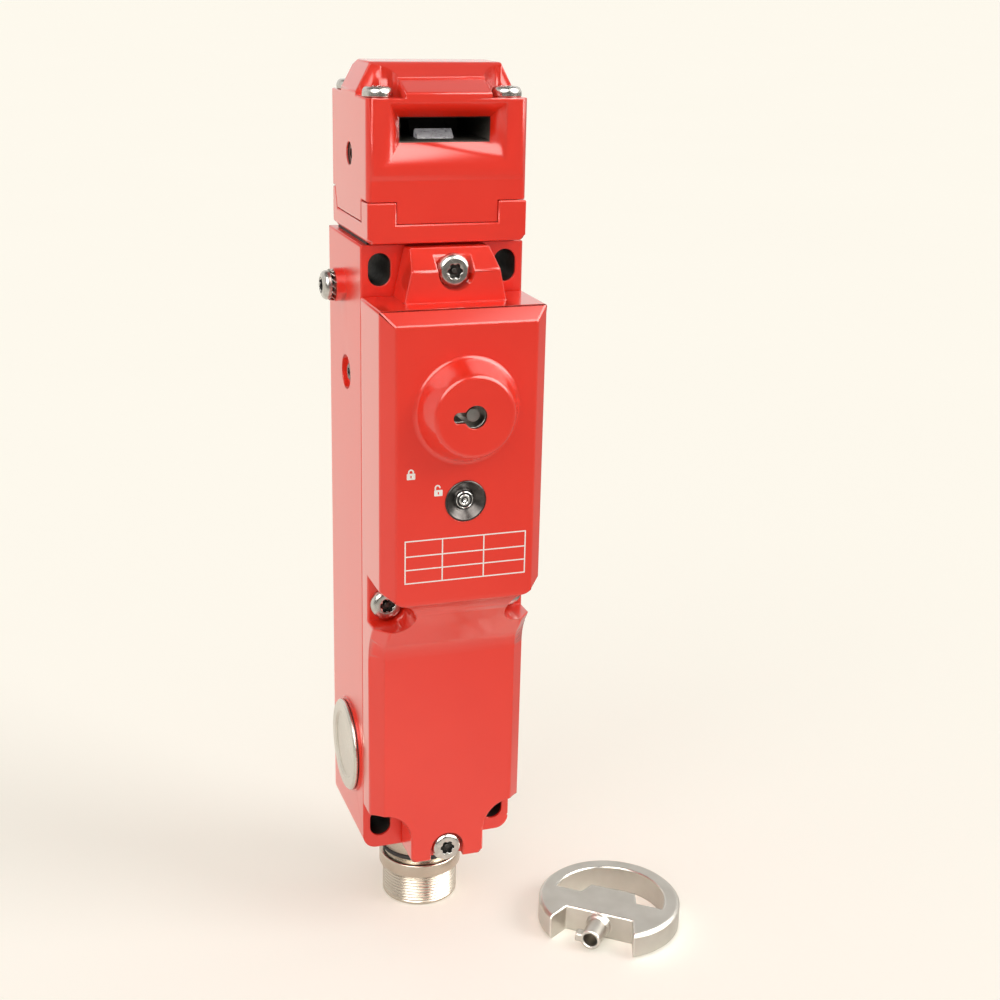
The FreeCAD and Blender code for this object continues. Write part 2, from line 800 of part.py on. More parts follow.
def cover_gasket():
    """Flat seal between housing and cover, with a tab under each end screw."""
    body = new_body("cover_gasket")
    edge = half - d.gasket_inset
    ring = sketch_on(body, "front", front)
    rectangle(ring, -edge, slot_low + d.scoop_radius + 1.0, edge, block_top - 1.0)
    grow(body, "Pad", ring, d.gasket_thick)
    tab = sketch_on(body, "front", front)
    rectangle(tab, -d.tongue_half + 1.0, end_low - d.screw_radius * 1.0, d.tongue_half - 1.0,
              end_high + d.screw_radius * 2)
    grow(body, "Pad", tab, d.gasket_thick)
    window = sketch_on(body, "front", seam)
    rectangle(window, -cavity_half, cavity_low, cavity_half, cavity_high)
    grow(body, "Pocket", window, d.gasket_thick)
    for side in (-1, 1):
        ear = sketch_on(body, "front", front)
        circle(ear, side * mid_x, mid_z, d.screw_radius * 2)
        grow(body, "Pad", ear, d.gasket_thick)
        bridge = sketch_on(body, "front", front)
        inner, outer = (-edge, -mid_x) if side < 0 else (mid_x, edge)
        rectangle(bridge, inner, mid_z - d.screw_radius * 1.5, outer, mid_z + d.screw_radius * 1.5)
        grow(body, "Pad", bridge, d.gasket_thick)
    holes = sketch_on(body, "front", seam)
    for x, z in ((0.0, end_high), (0.0, end_low), (-mid_x, mid_z), (mid_x, mid_z)):
        circle(holes, x, z, d.screw_radius + d.screw_room)
    grow(body, "Pocket", holes, d.gasket_thick)
    return keep(body, "cover_gasket")


# ---------------------------------------------------------------- fasteners

def screw(body, plane, offset, shift_u, shift_v, seat, sign, reach, axis="V_Axis"):
    """One pan-head screw turned about a sketch axis.

    seat is where the head sits along the axis and sign is the way from seat to head.
    """
    sketch = sketch_on(body, plane, offset, shift_u, shift_v)
    rim = seat + sign * d.screw_head_height * 0.55
    crown = seat + sign * d.screw_head_height
    socket = crown - sign * d.screw_socket_depth
    tip = seat - sign * reach
    corners = [(0.0, tip), (d.screw_radius, tip), (d.screw_radius, seat),
               (d.screw_head_radius, seat), (d.screw_head_radius, rim),
               (d.screw_head_radius * 0.7, crown), (d.screw_socket_radius, crown),
               (d.screw_socket_radius, socket), (0.0, socket)]
    if axis == "H_Axis":
        corners = [(v, u) for u, v in corners]
    polygon(sketch, corners)
    turn(body, "Revolution", sketch, axis)


def cover_screws():
    body = new_body("cover_screws")
    for x, z, floor in ((0.0, end_high, d.end_pocket_floor), (0.0, end_low, d.end_pocket_floor),
                        (-mid_x, mid_z, d.mid_pocket_floor), (mid_x, mid_z, d.mid_pocket_floor)):
        screw(body, "level", z, x, 0.0, seam - floor, -1, d.screw_reach)
    return keep(body, "cover_screws")


def head_screws():
    body = new_body("head_screws")
    reach = d.head_height + d.base_thick / 2
    for x in (-d.head_screw_half, d.head_screw_half):
        for y in (-d.head_screw_front, d.head_screw_back):
            screw(body, "front", y, x, 0.0, head_seat, 1, reach)
    return keep(body, "head_screws")


def earth_screw():
    body = new_body("earth_screw")
    seat = -half - d.earth_boss_height - d.earth_washer_thick
    reach = d.earth_boss_height + d.earth_washer_thick + d.side_wall * 2
    screw(body, "front", d.earth_back, 0.0, earth_z, seat, -1, reach, "H_Axis")
    return keep(body, "earth_screw")


def earth_washer():
    disc = rod("earth_washer_disc", d.earth_washer_radius, d.earth_washer_thick,
               (-half - d.earth_boss_height - d.earth_washer_thick, d.earth_back, earth_z), "x")
    hole = rod("earth_washer_hole", d.screw_radius + d.screw_room, d.earth_washer_thick,
               (-half - d.earth_boss_height - d.earth_washer_thick, d.earth_back, earth_z), "x")
    return keep(cut("earth_washer_ring", disc, [hole]), "earth_washer")


def side_screw():
    """Small screw in the recess on the left side."""
    floor = -half + d.side_hole_depth
    head = rod("side_screw_head", d.side_screw_radius, d.side_hole_depth * 0.6,
               (floor - d.side_hole_depth * 0.6, d.side_hole_back, side_hole_z), "x")
    shank = rod("side_screw_shank", d.side_screw_radius / 2, d.side_wall,
                (floor - d.side_hole_depth * 0.3, d.side_hole_back, side_hole_z), "x")
    return keep(fuse("side_screw_solid", [head, shank]), "side_screw")


# ---------------------------------------------------------------- conduit plugs

def conduit_plug(side, label):
    """Blanking plug: dished flange and a hollow threaded stub, turned about X."""
    body = new_body(label)
    seat = half + d.port_boss_height + d.plug_seal_thick
    rim = seat + d.plug_rim
    inner = seat - d.plug_seal_thick - d.plug_thread_length
    stub = d.port_radius
    sketch = sketch_on(body, "front", d.port_back, 0.0, port_z)
    corners = [(inner, stub - 2.0), (inner, stub), (seat, stub), (seat, d.plug_radius),
               (rim - d.plug_rim / 2, d.plug_radius), (rim, d.plug_radius - d.plug_rim / 2),
               (rim, d.plug_dish_radius), (rim - d.plug_dish_depth, d.plug_dish_radius - 0.6),
               (rim - d.plug_dish_depth, 0.0), (seat - d.plug_rim, 0.0),
               (seat - d.plug_rim, stub - 2.0)]
    polygon(sketch, [(side * x, r) for x, r in corners])
    turn(body, "Revolution", sketch, "H_Axis")
    return keep(body, label)


def plug_seal(side, label):
    start = half + d.port_boss_height
    first = start if side > 0 else -start - d.plug_seal_thick
    disc = rod(label + "_disc", d.plug_radius - 0.3, d.plug_seal_thick,
               (first, d.port_back, port_z), "x")
    hole = rod(label + "_hole", d.port_radius, d.plug_seal_thick,
               (first, d.port_back, port_z), "x")
    return keep(cut(label + "_ring", disc, [hole]), label)


# ---------------------------------------------------------------- head

def head_seal():
    """Flat seal between the housing and the head's base plate."""
    inset = 1.2
    sheet_low = (-head_half + inset, front + inset, top)
    sheet_high = (head_half - inset, d.head_back - inset, base_low)
    plate = block("head_seal_plate", sheet_low, sheet_high)
    hole = rod("head_seal_hole", d.bush_radius, d.head_seal_thick, (0.0, d.cam_back, top))
    return keep(cut("head_seal_cut", plate, [hole]), "head_seal")


def tab_outlines():
    """Side outlines of the front and back corner tabs of the base plate, (Y, Z) corners."""
    tab_top = base_high + d.tab_height
    tab_front = -d.head_front
    tab_back = d.head_back
    low = base_high - d.base_thick / 2
    ahead = [(tab_front, low), (tab_front + d.tab_front_depth, low),
             (tab_front + d.tab_front_depth, tab_top), (tab_front, tab_top)]
    behind = [(tab_back, low), (tab_back, tab_top), (tab_back - d.tab_back_depth, tab_top),
              (tab_back - d.tab_back_depth - d.tab_slant, low)]
    return ahead, behind


def head_base():
    """Adapter plate with four corner tabs that key into the head in four positions."""
    body = new_body("head_base")
    plate = sketch_on(body, "level", base_low)
    rectangle(plate, -head_half, -d.head_front, head_half, d.head_back)
    grow(body, "Pad", plate, d.base_thick)
    for side in (-1, 1):
        for outline in tab_outlines():
            tab = sketch_on(body, "side", side * d.tab_half)
            polygon(tab, outline)
            grow(body, "Pad", tab, head_half - d.tab_half, flip=side < 0)
    bush = sketch_on(body, "level", base_high)
    circle(bush, 0.0, d.cam_back, d.bush_radius)
    grow(body, "Pocket", bush, d.base_thick)
    holes = sketch_on(body, "level", base_high + d.tab_height)
    for x in (-d.head_screw_half, d.head_screw_half):
        for y in (-d.head_screw_front, d.head_screw_back):
            circle(holes, x, y, d.screw_radius)
    grow(body, "Pocket", holes, d.tab_height + d.base_thick / 2)
    return keep(body, "head_base")


def head_housing():
    """Die-cast turret head: roofed block with the tongue's entry and the cam's chamber."""
    body = new_body("head_housing")
    low = base_high + d.joint_gap
    skirt = base_high + d.skirt_height
    ledge = head_seat + d.ledge_rise
    ridge = head_seat + d.ridge_rise
    outline = sketch_on(body, "side", 0.0)
    polygon(outline, [(-d.head_front + d.skirt_step, low), (d.head_back, low), (d.head_back, head_seat),
                      (d.roof_back, ledge), (d.roof_back, ledge + d.skirt_step),
                      (d.ridge_back, ridge), (-d.ridge_front, ridge),
                      (-d.roof_front, ledge + d.skirt_step), (-d.roof_front, ledge),
                      (-d.head_front, head_seat + d.front_rise),
                      (-d.head_front, skirt + 2 * d.skirt_step),
                      (-d.head_front + d.skirt_step, skirt - d.skirt_step)])
    grow(body, "Pad", outline, d.head_width, both=True)
    dress(body, "Chamfer", d.head_bevel,
          lambda e: runs_along(e, AXIS_Z) and near(e.CenterOfMass.y, -d.head_front))
    gable = sketch_on(body, "front", -d.head_front)
    for side in (-1, 1):
        outer = side * (head_half + 1.0)
        polygon(gable, [(side * d.ridge_half, ridge), (side * head_half, head_seat + d.skirt_step * 2),
                        (outer, head_seat), (outer, ridge + 1.0), (side * d.ridge_half, ridge + 1.0)])
    grow(body, "Pocket", gable, d.head_front + d.head_back)
    holes = sketch_on(body, "level", head_seat)
    for side in (-1, 1):
        for toward, y, edge in ((-1, -d.head_screw_front, d.head_front),
                                (1, d.head_screw_back, d.head_back)):
            head_shelf(body, side, toward, y, edge, ridge)
            circle(holes, side * d.head_screw_half, y, d.screw_radius + d.screw_room)
    grow(body, "Pocket", holes, d.head_height)
    head_notches(body)
    head_entry(body)
    head_chamber(body)
    return keep(body, "head_housing")


def head_shelf(body, side, toward, y, edge, ridge):
    """Level seat for one corner screw, open to both faces, with a round inner corner."""
    radius = d.head_pocket_radius
    x = side * d.head_screw_half
    outer = side * (head_half + 1.0)
    end = toward * (edge + 1.0)
    bowl = sketch_on(body, "level", ridge)
    circle(bowl, x, y, radius)
    grow(body, "Pocket", bowl, d.ridge_rise)
    for first, second in (((x, y - toward * radius), (outer, end)), ((x - side * radius, y), (outer, end))):
        low_x, high_x = (second[0], first[0]) if side < 0 else (first[0], second[0])
        low_y, high_y = (second[1], first[1]) if toward < 0 else (first[1], second[1])
        strip = sketch_on(body, "level", ridge)
        rectangle(strip, low_x, low_y, high_x, high_y)
        grow(body, "Pocket", strip, d.ridge_rise)


def head_notches(body):
    """Corner cut-outs that take the base plate's tabs with the joint's gap."""
    gap = d.joint_gap
    for side in (-1, 1):
        for outline, toward in zip(tab_outlines(), (-1, 1)):
            grown = [(y - toward * gap if abs(number(y)) < abs(number(outline[0][0])) else y + toward,
                      z + gap if number(z) > number(base_high) else z) for y, z in outline]
            notch = sketch_on(body, "side", side * (head_half + 1.0))
            polygon(notch, grown)
            grow(body, "Pocket", notch, head_half + 1.0 - d.tab_half + gap, flip=side < 0)


def head_entry(body):
    """Tapered funnel and the tongue's slot behind it."""
    mouth = sketch_on(body, "front", -d.head_front)
    half_entry = d.entry_width / 2
    high = entry_z + d.entry_height / 2
    low = entry_z - d.entry_height / 2
    rectangle(mouth, -half_entry - d.funnel_side, low - d.funnel_down,
              half_entry + d.funnel_side, high + d.funnel_up)
    throat = sketch_on(body, "front", -d.head_front + d.funnel_depth)
    rectangle(throat, -half_entry, low, half_entry, high)
    funnel = body.newObject("PartDesign::SubtractiveLoft", "head_funnel")
    funnel.Profile = mouth
    funnel.Sections = [throat]
    funnel.Ruled = True
    body.Tip = funnel
    slot = sketch_on(body, "front", -d.head_front)
    rectangle(slot, -half_entry, low, half_entry, high)
    grow(body, "Pocket", slot, d.entry_depth)


def head_chamber(body):
    """Round chamber for the cam, open below, with the axle's bore from the left."""
    wide = d.cam_width + 2 * d.cam_room
    reach = d.cam_lobe + d.cam_room
    drum = sketch_on(body, "side", wide / 2)
    circle(drum, d.cam_back, cam_z, reach)
    grow(body, "Pocket", drum, wide)
    well = sketch_on(body, "level", cam_z)
    rectangle(well, -wide / 2, d.cam_back - reach, wide / 2, d.cam_back + reach)
    grow(body, "Pocket", well, d.cam_rise)
    bore = sketch_on(body, "side", -head_half)
    circle(bore, d.cam_back, cam_z, d.axle_radius)
    grow(body, "Pocket", bore, head_half + d.cam_width, flip=True)
    mouth = sketch_on(body, "side", -head_half)
    circle(mouth, d.cam_back, cam_z, d.axle_hole_radius)
    grow(body, "Pocket", mouth, d.axle_inset, flip=True)


def cam_axle():
    """Axle pressed in from the left, with a socketed head just under the surface."""
    start = -head_half + d.axle_inset
    face = -head_half + d.axle_head_inset
    axle = rod("cam_axle_rod", d.axle_radius, d.cam_width - start, (start, d.cam_back, cam_z), "x")
    head = rod("cam_axle_head", d.axle_hole_radius - d.screw_room, d.axle_inset - d.axle_head_inset,
               (face, d.cam_back, cam_z), "x")
    socket = rod("cam_axle_socket", d.axle_socket_radius, d.axle_socket_depth,
                 (face, d.cam_back, cam_z), "x")
    return keep(cut("cam_axle_cut", fuse("cam_axle_solid", [axle, head]), [socket]), "cam_axle")


def head_cam():
    """Cam plate stack: two teeth for the tongue's window and a spiral flank for the plunger.

    The flank's radius falls evenly with the angle, so the plunger rises evenly as the
    cam turns.  The profile runs through points in (Y, Z) about the axle.
    """
    turn_angle = SIZES["cam_turn"]
    lobe, low, tooth, hub = (SIZES[name] for name in ("cam_lobe", "cam_low", "cam_tooth", "cam_hub"))
    fall = (lobe - low) / turn_angle
    lead = 8.0
    angles = [lead * step for step in range(-1, 11)]
    flank = [polar(lobe - fall * min(max(angle, 0.0), turn_angle + lead), angle) for angle in angles]
    rear = polar(tooth, 150.0)
    rear_back = polar(tooth, 168.0)
    notch = polar(hub, 185.0)
    ahead = polar(tooth * 0.93, 214.0)
    ahead_low = polar(tooth * 0.93, 240.0)
    last = polar(lobe, 360.0 + angles[0] - 22.0)
    spline = Part.BSplineCurve()
    spline.interpolate(flank)
    edges = [spline.toShape(),
             Part.makeLine(flank[-1], polar(hub + 0.6, 108.0)),
             Part.makeLine(polar(hub + 0.6, 108.0), rear),
             Part.Arc(rear, polar(tooth, 159.0), rear_back).toShape(),
             Part.makeLine(rear_back, notch),
             Part.makeLine(notch, ahead),
             Part.Arc(ahead, polar(tooth * 0.93, 227.0), ahead_low).toShape(),
             Part.makeLine(ahead_low, polar(hub + 0.6, 285.0)),
             Part.makeLine(polar(hub + 0.6, 285.0), last),
             Part.Arc(last, polar(lobe, 360.0 + angles[0] - 11.0), flank[0]).toShape()]
    width = SIZES["cam_width"]
    profile = Part.Face(Part.Wire(Part.__sortEdges__(edges)))
    solid = profile.extrude(Vector(width, 0, 0))
    bore = Part.makeCylinder(SIZES["axle_radius"] + SIZES["running_fit"], width, Vector(), AXIS_X)
    item = doc.addObject("Part::Feature", "head_cam_solid")
    item.Shape = solid.cut(bore)
    item.Placement = Placement(Vector(-width / 2, number(d.cam_back), number(cam_z)), Rotation())
    return keep(item, "head_cam")


def polar(radius, angle):
    """A point of the cam's profile: angle 0 points down and grows towards the back."""
    turn_of = math.radians(angle)
    return Vector(0, radius * math.sin(turn_of), -radius * math.cos(turn_of))


def plunger_bush():
    wide = rod("plunger_bush_wall", d.bush_radius, d.top_wall + d.head_seal_thick + d.base_thick,
               (0.0, d.cam_back, top - d.top_wall))
    hole = rod("plunger_bush_hole", d.plunger_radius + d.running_fit,
               d.top_wall + d.head_seal_thick + d.base_thick, (0.0, d.cam_back, top - d.top_wall))
    return keep(cut("plunger_bush_ring", wide, [hole]), "plunger_bush")


plunger_tip = cam_z - d.cam_lobe - d.plunger_gap
plunger_travel = d.cam_lobe - d.cam_low
collar_high = top - d.top_wall - plunger_travel - 0.2
collar_low = collar_high - d.plunger_collar_height
carrier_top = contact_top - plunger_travel - d.carrier_gap


def plunger():
    """Push rod with a rounded tip under the cam and a collar for the spring."""
    body = new_body("plunger")
    profile = sketch_on(body, "front", d.cam_back)
    polygon(profile, [(0.0, carrier_top), (d.plunger_radius, carrier_top),
                      (d.plunger_radius, collar_low), (d.plunger_collar_radius, collar_low),
                      (d.plunger_collar_radius, collar_high), (d.plunger_radius, collar_high),
                      (d.plunger_radius, plunger_tip), (0.0, plunger_tip)])
    turn(body, "Revolution", profile)
    dress(body, "Fillet", d.plunger_radius - d.plunger_flat,
          lambda e: near(e.CenterOfMass.z, plunger_tip) and e.Curve.TypeId == "Part::GeomCircle")
    return keep(body, "plunger")


def coil_spring(label, x, y, low, high, radius, wire, coils):
    """Compression spring of square wire wound between two heights."""
    start, end = number(low), number(high)
    path_high = end - start - number(wire)
    helix = Part.makeHelix(path_high / coils, path_high, number(radius))
    w = number(wire) / 2
    r = number(radius)
    corners = [Vector(r - w, 0, -w), Vector(r + w, 0, -w), Vector(r + w, 0, w), Vector(r - w, 0, w)]
    section = Part.makePolygon(corners + corners[:1])
    solid = Part.Wire(helix.Edges).makePipeShell([section], True, True)
    item = doc.addObject("Part::Feature", label + "_solid")
    item.Shape = solid
    item.Placement = Placement(Vector(number(x), number(y), start + w), Rotation())
    return keep(item, label)


# ---------------------------------------------------------------- contact block

carrier_front = d.cam_back - d.carrier_depth / 2
carrier_back = d.cam_back + d.carrier_depth / 2
channel_half = d.bridge_half + d.carrier_gap
rib_front = carrier_front - 1.5
plate_front = carrier_back + d.carrier_gap
shelf_high = contact_low - plunger_travel - d.carrier_gap
shelf_low = shelf_high - d.shelf_thick
lever_z = shelf_low - d.lever_nose - d.lever_drop
tail_low = lever_z + d.lever_nose / 2
nose_half = 1.2
tail_front = d.lever_pivot_back + nose_half + d.carrier_gap


def bridge_heights():
    """Underside height of each moving contact bridge."""
    first = contact_low + 5.0
    return [first, first + d.contact_pitch]


def contact_block():
    """Moulded block with a channel for the carrier, open to the front."""
    body = block("contact_block_body", (-d.block_half, rib_front, contact_low),
                 (d.block_half, d.block_rear, contact_top))
    channel = block("contact_block_channel", (-channel_half, rib_front, contact_low),
                    (channel_half, plate_front, contact_top))
    return keep(cut("contact_block_cut", body, [channel]), "contact_block")


def contact_carrier():
    """Sliding carrier under the plunger with a tail for the lock lever."""
    body = block("carrier_bar", (-d.carrier_half, carrier_front, shelf_low),
                 (d.carrier_half, carrier_back, carrier_top))
    tail_back = tail_front + d.shelf_thick
    shelf = block("carrier_shelf", (-d.carrier_half, carrier_front, shelf_low),
                  (d.carrier_half, tail_back, shelf_high))
    tail = block("carrier_tail", (-d.carrier_half, tail_front, tail_low),
                 (d.carrier_half, tail_back, shelf_high))
    solid = fuse("carrier_solid", [body, shelf, tail])
    windows = []
    for index, z in enumerate(bridge_heights()):
        windows.append(block("carrier_window_%d" % index,
                             (-d.carrier_half, d.cam_back - d.bridge_wide / 2, z),
                             (d.carrier_half, d.cam_back + d.bridge_wide / 2, z + d.bridge_thick)))
    return keep(cut("carrier_cut", solid, windows), "contact_carrier")


def contact_bridges():
    bars = []
    for index, z in enumerate(bridge_heights()):
        bars.append(block("bridge_%d" % index, (-d.bridge_half, d.cam_back - d.bridge_wide / 2, z),
                          (d.bridge_half, d.cam_back + d.bridge_wide / 2, z + d.bridge_thick)))
    return keep(group("bridges", bars), "contact_bridges")


def fixed_contacts():
    """Contact strips let into the channel's walls just above each bridge's travel."""
    strips = []
    for index, z in enumerate(bridge_heights()):
        low = z + d.bridge_thick + plunger_travel + d.carrier_gap
        for side in (-1, 1):
            inner = channel_half - 2.6
            a = (inner if side > 0 else -channel_half, d.cam_back - d.bridge_wide / 2, low)
            b = (channel_half if side > 0 else -inner, d.cam_back + d.bridge_wide / 2,
                 low + d.bridge_thick)
            strips.append(block("strip_%d_%d" % (index, side + 1), a, b))
    return keep(group("strips", strips), "fixed_contacts")


def terminal_screws():
    heads = []
    x = (channel_half + d.block_half) / 2
    for index, z in enumerate(bridge_heights()):
        for side in (-1, 1):
            name = "terminal_%d_%d" % (index, side + 1)
            heads.append(rod(name, 1.8, 1.4, (side * x, rib_front - 1.4, z + d.contact_pitch / 2), "y"))
    return keep(group("terminals", heads), "terminal_screws")


def spring_plate():
    """Thin plate on the contact block that carries the plunger's spring."""
    plate = block("spring_plate_sheet", (-channel_half - 1.5, rib_front, contact_top),
                  (channel_half + 1.5, plate_front + 1.5, contact_top + 0.8))
    hole = rod("spring_plate_hole", d.plunger_radius + 0.2, 0.8, (0.0, d.cam_back, contact_top))
    return keep(cut("spring_plate_cut", plate, [hole]), "spring_plate")


# ---------------------------------------------------------------- solenoid and lock lever

stem_high = lever_z + 3.4
armature_high = frame_high + d.armature_stroke + d.carrier_gap
armature_low = frame_low + d.solenoid_plate + d.armature_spring_length


def solenoid_frame():
    """Steel yoke: a box open at both sides, with the armature's hole on top."""
    shell = block("yoke_shell", (-d.solenoid_half, d.solenoid_front, frame_low),
                  (d.solenoid_half, frame_back, frame_high))
    window = block("yoke_window", (-d.solenoid_half, d.solenoid_front + d.solenoid_plate,
                                   frame_low + d.solenoid_plate),
                   (d.solenoid_half, frame_back - d.solenoid_plate,
                    frame_high - d.solenoid_plate))
    hole = rod("yoke_hole", d.armature_radius + 0.3, d.solenoid_plate,
               (0.0, coil_y, frame_high - d.solenoid_plate))
    return keep(cut("yoke_cut", shell, [window, hole]), "solenoid_frame")


def solenoid_bobbin():
    low = frame_low + d.solenoid_plate
    tall = d.solenoid_height - 2 * d.solenoid_plate
    flange = d.coil_radius - 0.8
    body = new_body("solenoid_bobbin")
    outline = sketch_on(body, "front", coil_y)
    inner = d.armature_radius + 0.2
    polygon(outline, [(inner, low), (flange, low), (flange, low + d.bobbin_wall),
                      (d.bobbin_core, low + d.bobbin_wall),
                      (d.bobbin_core, low + tall - d.bobbin_wall),
                      (flange, low + tall - d.bobbin_wall), (flange, low + tall), (inner, low + tall)])
    turn(body, "Revolution", outline)
    return keep(body, "solenoid_bobbin")


def solenoid_coil():
    low = frame_low + d.solenoid_plate + d.bobbin_wall
    tall = d.solenoid_height - 2 * (d.solenoid_plate + d.bobbin_wall)
    wound = rod("coil_wound", d.coil_radius - 1.2, tall, (0.0, coil_y, low))
    core = rod("coil_core", d.bobbin_core, tall, (0.0, coil_y, low))
    return keep(cut("coil_cut", wound, [core]), "solenoid_coil")


def armature():
    """Solenoid core with a thin stem; the lock lever sits in the groove near its top."""
    body = new_body("armature")
    groove_low = lever_z - d.lever_thick / 2 - d.groove_room
    groove_high = lever_z + d.lever_thick / 2 + d.groove_room
    waist = d.stem_waist
    profile = sketch_on(body, "front", coil_y)
    polygon(profile, [(0.0, armature_low), (d.armature_radius, armature_low),
                      (d.armature_radius, armature_high), (d.stem_radius, armature_high),
                      (d.stem_radius, groove_low), (waist, groove_low), (waist, groove_high),
                      (d.stem_radius, groove_high), (d.stem_radius, stem_high), (0.0, stem_high)])
    turn(body, "Revolution", profile)
    return keep(body, "armature")


link_back = rotor_rear + 8.0
link_front = link_back - 2.0


def release_link():
    """Flat link from the rotor's crank pin down to the armature's shoulder."""
    slot_half = d.crank_pin_radius + 0.2
    wide = d.crank_radius + d.link_margin
    foot_low = armature_high
    foot_high = armature_high + d.link_foot
    crank_z = key_z + d.crank_radius * math.sin(math.radians(SIZES["release_angle"] / 2))
    strip = block("link_strip", (-wide, link_front, foot_low), (wide, link_back, crank_z + d.link_margin))
    foot = block("link_foot", (-d.armature_radius, link_front, foot_low),
                 (d.armature_radius, coil_y + d.armature_radius, foot_high))
    solid = fuse("link_solid", [strip, foot])
    slot = block("link_slot", (-wide + d.link_wall, link_front, crank_z - slot_half),
                 (wide - d.link_wall, link_back, crank_z + slot_half))
    bore = rod("link_bore", d.stem_radius, foot_high - foot_low, (0.0, coil_y, foot_low))
    return keep(cut("link_cut", solid, [slot, bore]), "release_link")


def lock_lever():
    """Bell crank: a forked arm in the stem's groove and a nose beside the carrier's tail."""
    pivot = d.lever_pivot_back
    thick = d.lever_thick
    arm_front = coil_y - d.stem_waist
    hub = rod("lever_hub", d.lever_hub, d.lever_half * 2, (-d.lever_half, pivot, lever_z), "x")
    arm = block("lever_arm_bar", (-d.lever_half, arm_front, lever_z - thick / 2),
                (d.lever_half, pivot, lever_z + thick / 2))
    nose = block("lever_nose_bar", (-d.lever_half, pivot - nose_half, lever_z),
                 (d.lever_half, pivot + nose_half, lever_z + d.lever_nose))
    solid = fuse("lever_solid", [hub, arm, nose])
    prong = d.stem_waist + d.carrier_gap
    fork = block("lever_fork", (-prong, arm_front, lever_z - thick),
                 (prong, coil_y + d.stem_radius + d.carrier_gap, lever_z + thick))
    bore = rod("lever_bore", d.lever_pin_radius + d.running_fit, d.lever_half * 2,
               (-d.lever_half, pivot, lever_z), "x")
    return keep(cut("lever_cut", solid, [fork, bore]), "lock_lever")


def lever_pin():
    """Pivot pin of the lock lever, carried by the two walls of the housing's cavity."""
    pin = rod("lever_pin_rod", d.lever_pin_radius, cavity_half * 2,
              (-cavity_half, d.lever_pivot_back, lever_z), "x")
    return keep(pin, "lever_pin")


# ---------------------------------------------------------------- release rotor and indicator

def release_rotor():
    """Key-turned rotor: a socket with its centre pin in front, a crank pin behind."""
    body = new_body("release_rotor")
    shaft_end = link_front - 0.6
    seal_low = rotor_front + d.seal_setback
    crank_disc = d.crank_radius + d.crank_pin_radius + d.crank_rim
    profile = sketch_on(body, "level", key_z)
    socket_floor = rotor_front + d.rotor_socket_depth
    polygon(profile, [(0.0, rotor_front + 0.8), (d.rotor_pin_radius, rotor_front + 0.8),
                      (d.rotor_pin_radius, socket_floor), (d.keyhole_radius, socket_floor),
                      (d.keyhole_radius, rotor_front + 0.2), (d.rotor_radius, rotor_front + 0.2),
                      (d.rotor_radius, seal_low), (d.rotor_radius - d.seal_wire, seal_low),
                      (d.rotor_radius - d.seal_wire, seal_low + 2 * d.seal_wire),
                      (d.rotor_radius, seal_low + 2 * d.seal_wire),
                      (d.rotor_radius, rotor_rear), (d.rotor_shaft_radius, rotor_rear),
                      (d.rotor_shaft_radius, shaft_end - 1.5),
                      (crank_disc, shaft_end - 1.5), (crank_disc, shaft_end), (0.0, shaft_end)])
    turn(body, "Revolution", profile)
    key_slot = sketch_on(body, "front", rotor_front + 0.2)
    rectangle(key_slot, -d.keyhole_lobe_offset - d.keyhole_lobe_radius, key_z - d.lug_thick / 2 - 0.2,
              -d.rotor_pin_radius - 0.5, key_z + d.lug_thick / 2 + 0.2)
    grow(body, "Pocket", key_slot, d.rotor_socket_depth - 0.2)
    start = math.radians(SIZES["release_angle"] / 2)
    crank = sketch_on(body, "front", shaft_end)
    circle(crank, -d.crank_radius * math.cos(start), key_z + d.crank_radius * math.sin(start),
           d.crank_pin_radius)
    grow(body, "Pad", crank, link_back - shaft_end, flip=True)
    return keep(body, "release_rotor")


def rotor_seal():
    """Seal ring in the rotor's groove."""
    start = (0.0, rotor_front + d.seal_setback + d.seal_wire / 2, key_z)
    wall = rod("rotor_seal_wall", d.rotor_radius, d.seal_wire, start, "y")
    hole = rod("rotor_seal_hole", d.rotor_radius - d.seal_wire, d.seal_wire, start, "y")
    return keep(cut("rotor_seal_ring", wall, [hole]), "rotor_seal")


def rotor_retainer():
    """Plate inside the cover that keeps the rotor in its bore."""
    sheet_front = rotor_rear + d.retainer_gap
    sheet_low = (-d.key_boss_base, sheet_front, key_z - d.retainer_half)
    sheet_high = (d.key_boss_base, sheet_front + d.retainer_thick, key_z + d.retainer_half)
    plate = block("rotor_retainer_plate", sheet_low, sheet_high)
    hole = rod("rotor_retainer_hole", d.rotor_shaft_radius + d.retainer_gap, d.retainer_thick,
               (0.0, sheet_front, key_z), "y")
    return keep(cut("rotor_retainer_cut", plate, [hole]), "rotor_retainer")


def led_bezel():
    """Turned bezel with a conical dish round the lens."""
    body = new_body("led_bezel")
    rear = block_face + d.led_depth
    profile = sketch_on(body, "level", led_z)
    polygon(profile, [(d.led_radius, block_face - 0.3), (d.led_radius, rear), (d.led_lens_radius, rear),
                      (d.led_lens_radius, block_face + 1.9), (d.led_radius - 0.7, block_face - 0.3)])
    turn(body, "Revolution", profile)
    return keep(body, "led_bezel")


def led_lens():
    body = new_body("led_lens")
    profile = sketch_on(body, "level", led_z)
    rear = block_face + d.led_depth + 1.0
    polygon(profile, [(0.0, block_face + 0.9), (d.led_lens_radius * 0.7, block_face + 1.1),
                      (d.led_lens_radius, block_face + 1.7), (d.led_lens_radius, rear), (0.0, rear)])
    turn(body, "Revolution", profile)
    return keep(body, "led_lens")


def indicator_board():
    rear = block_face + d.led_depth + 1.0
    board = block("board_sheet", (-d.board_half, rear, led_z - d.board_height / 2 - 3.0),
                  (d.board_half, rear + d.board_thick, led_z + d.board_height / 2 - 3.0))
    return keep(board, "indicator_board")


# ---------------------------------------------------------------- connector

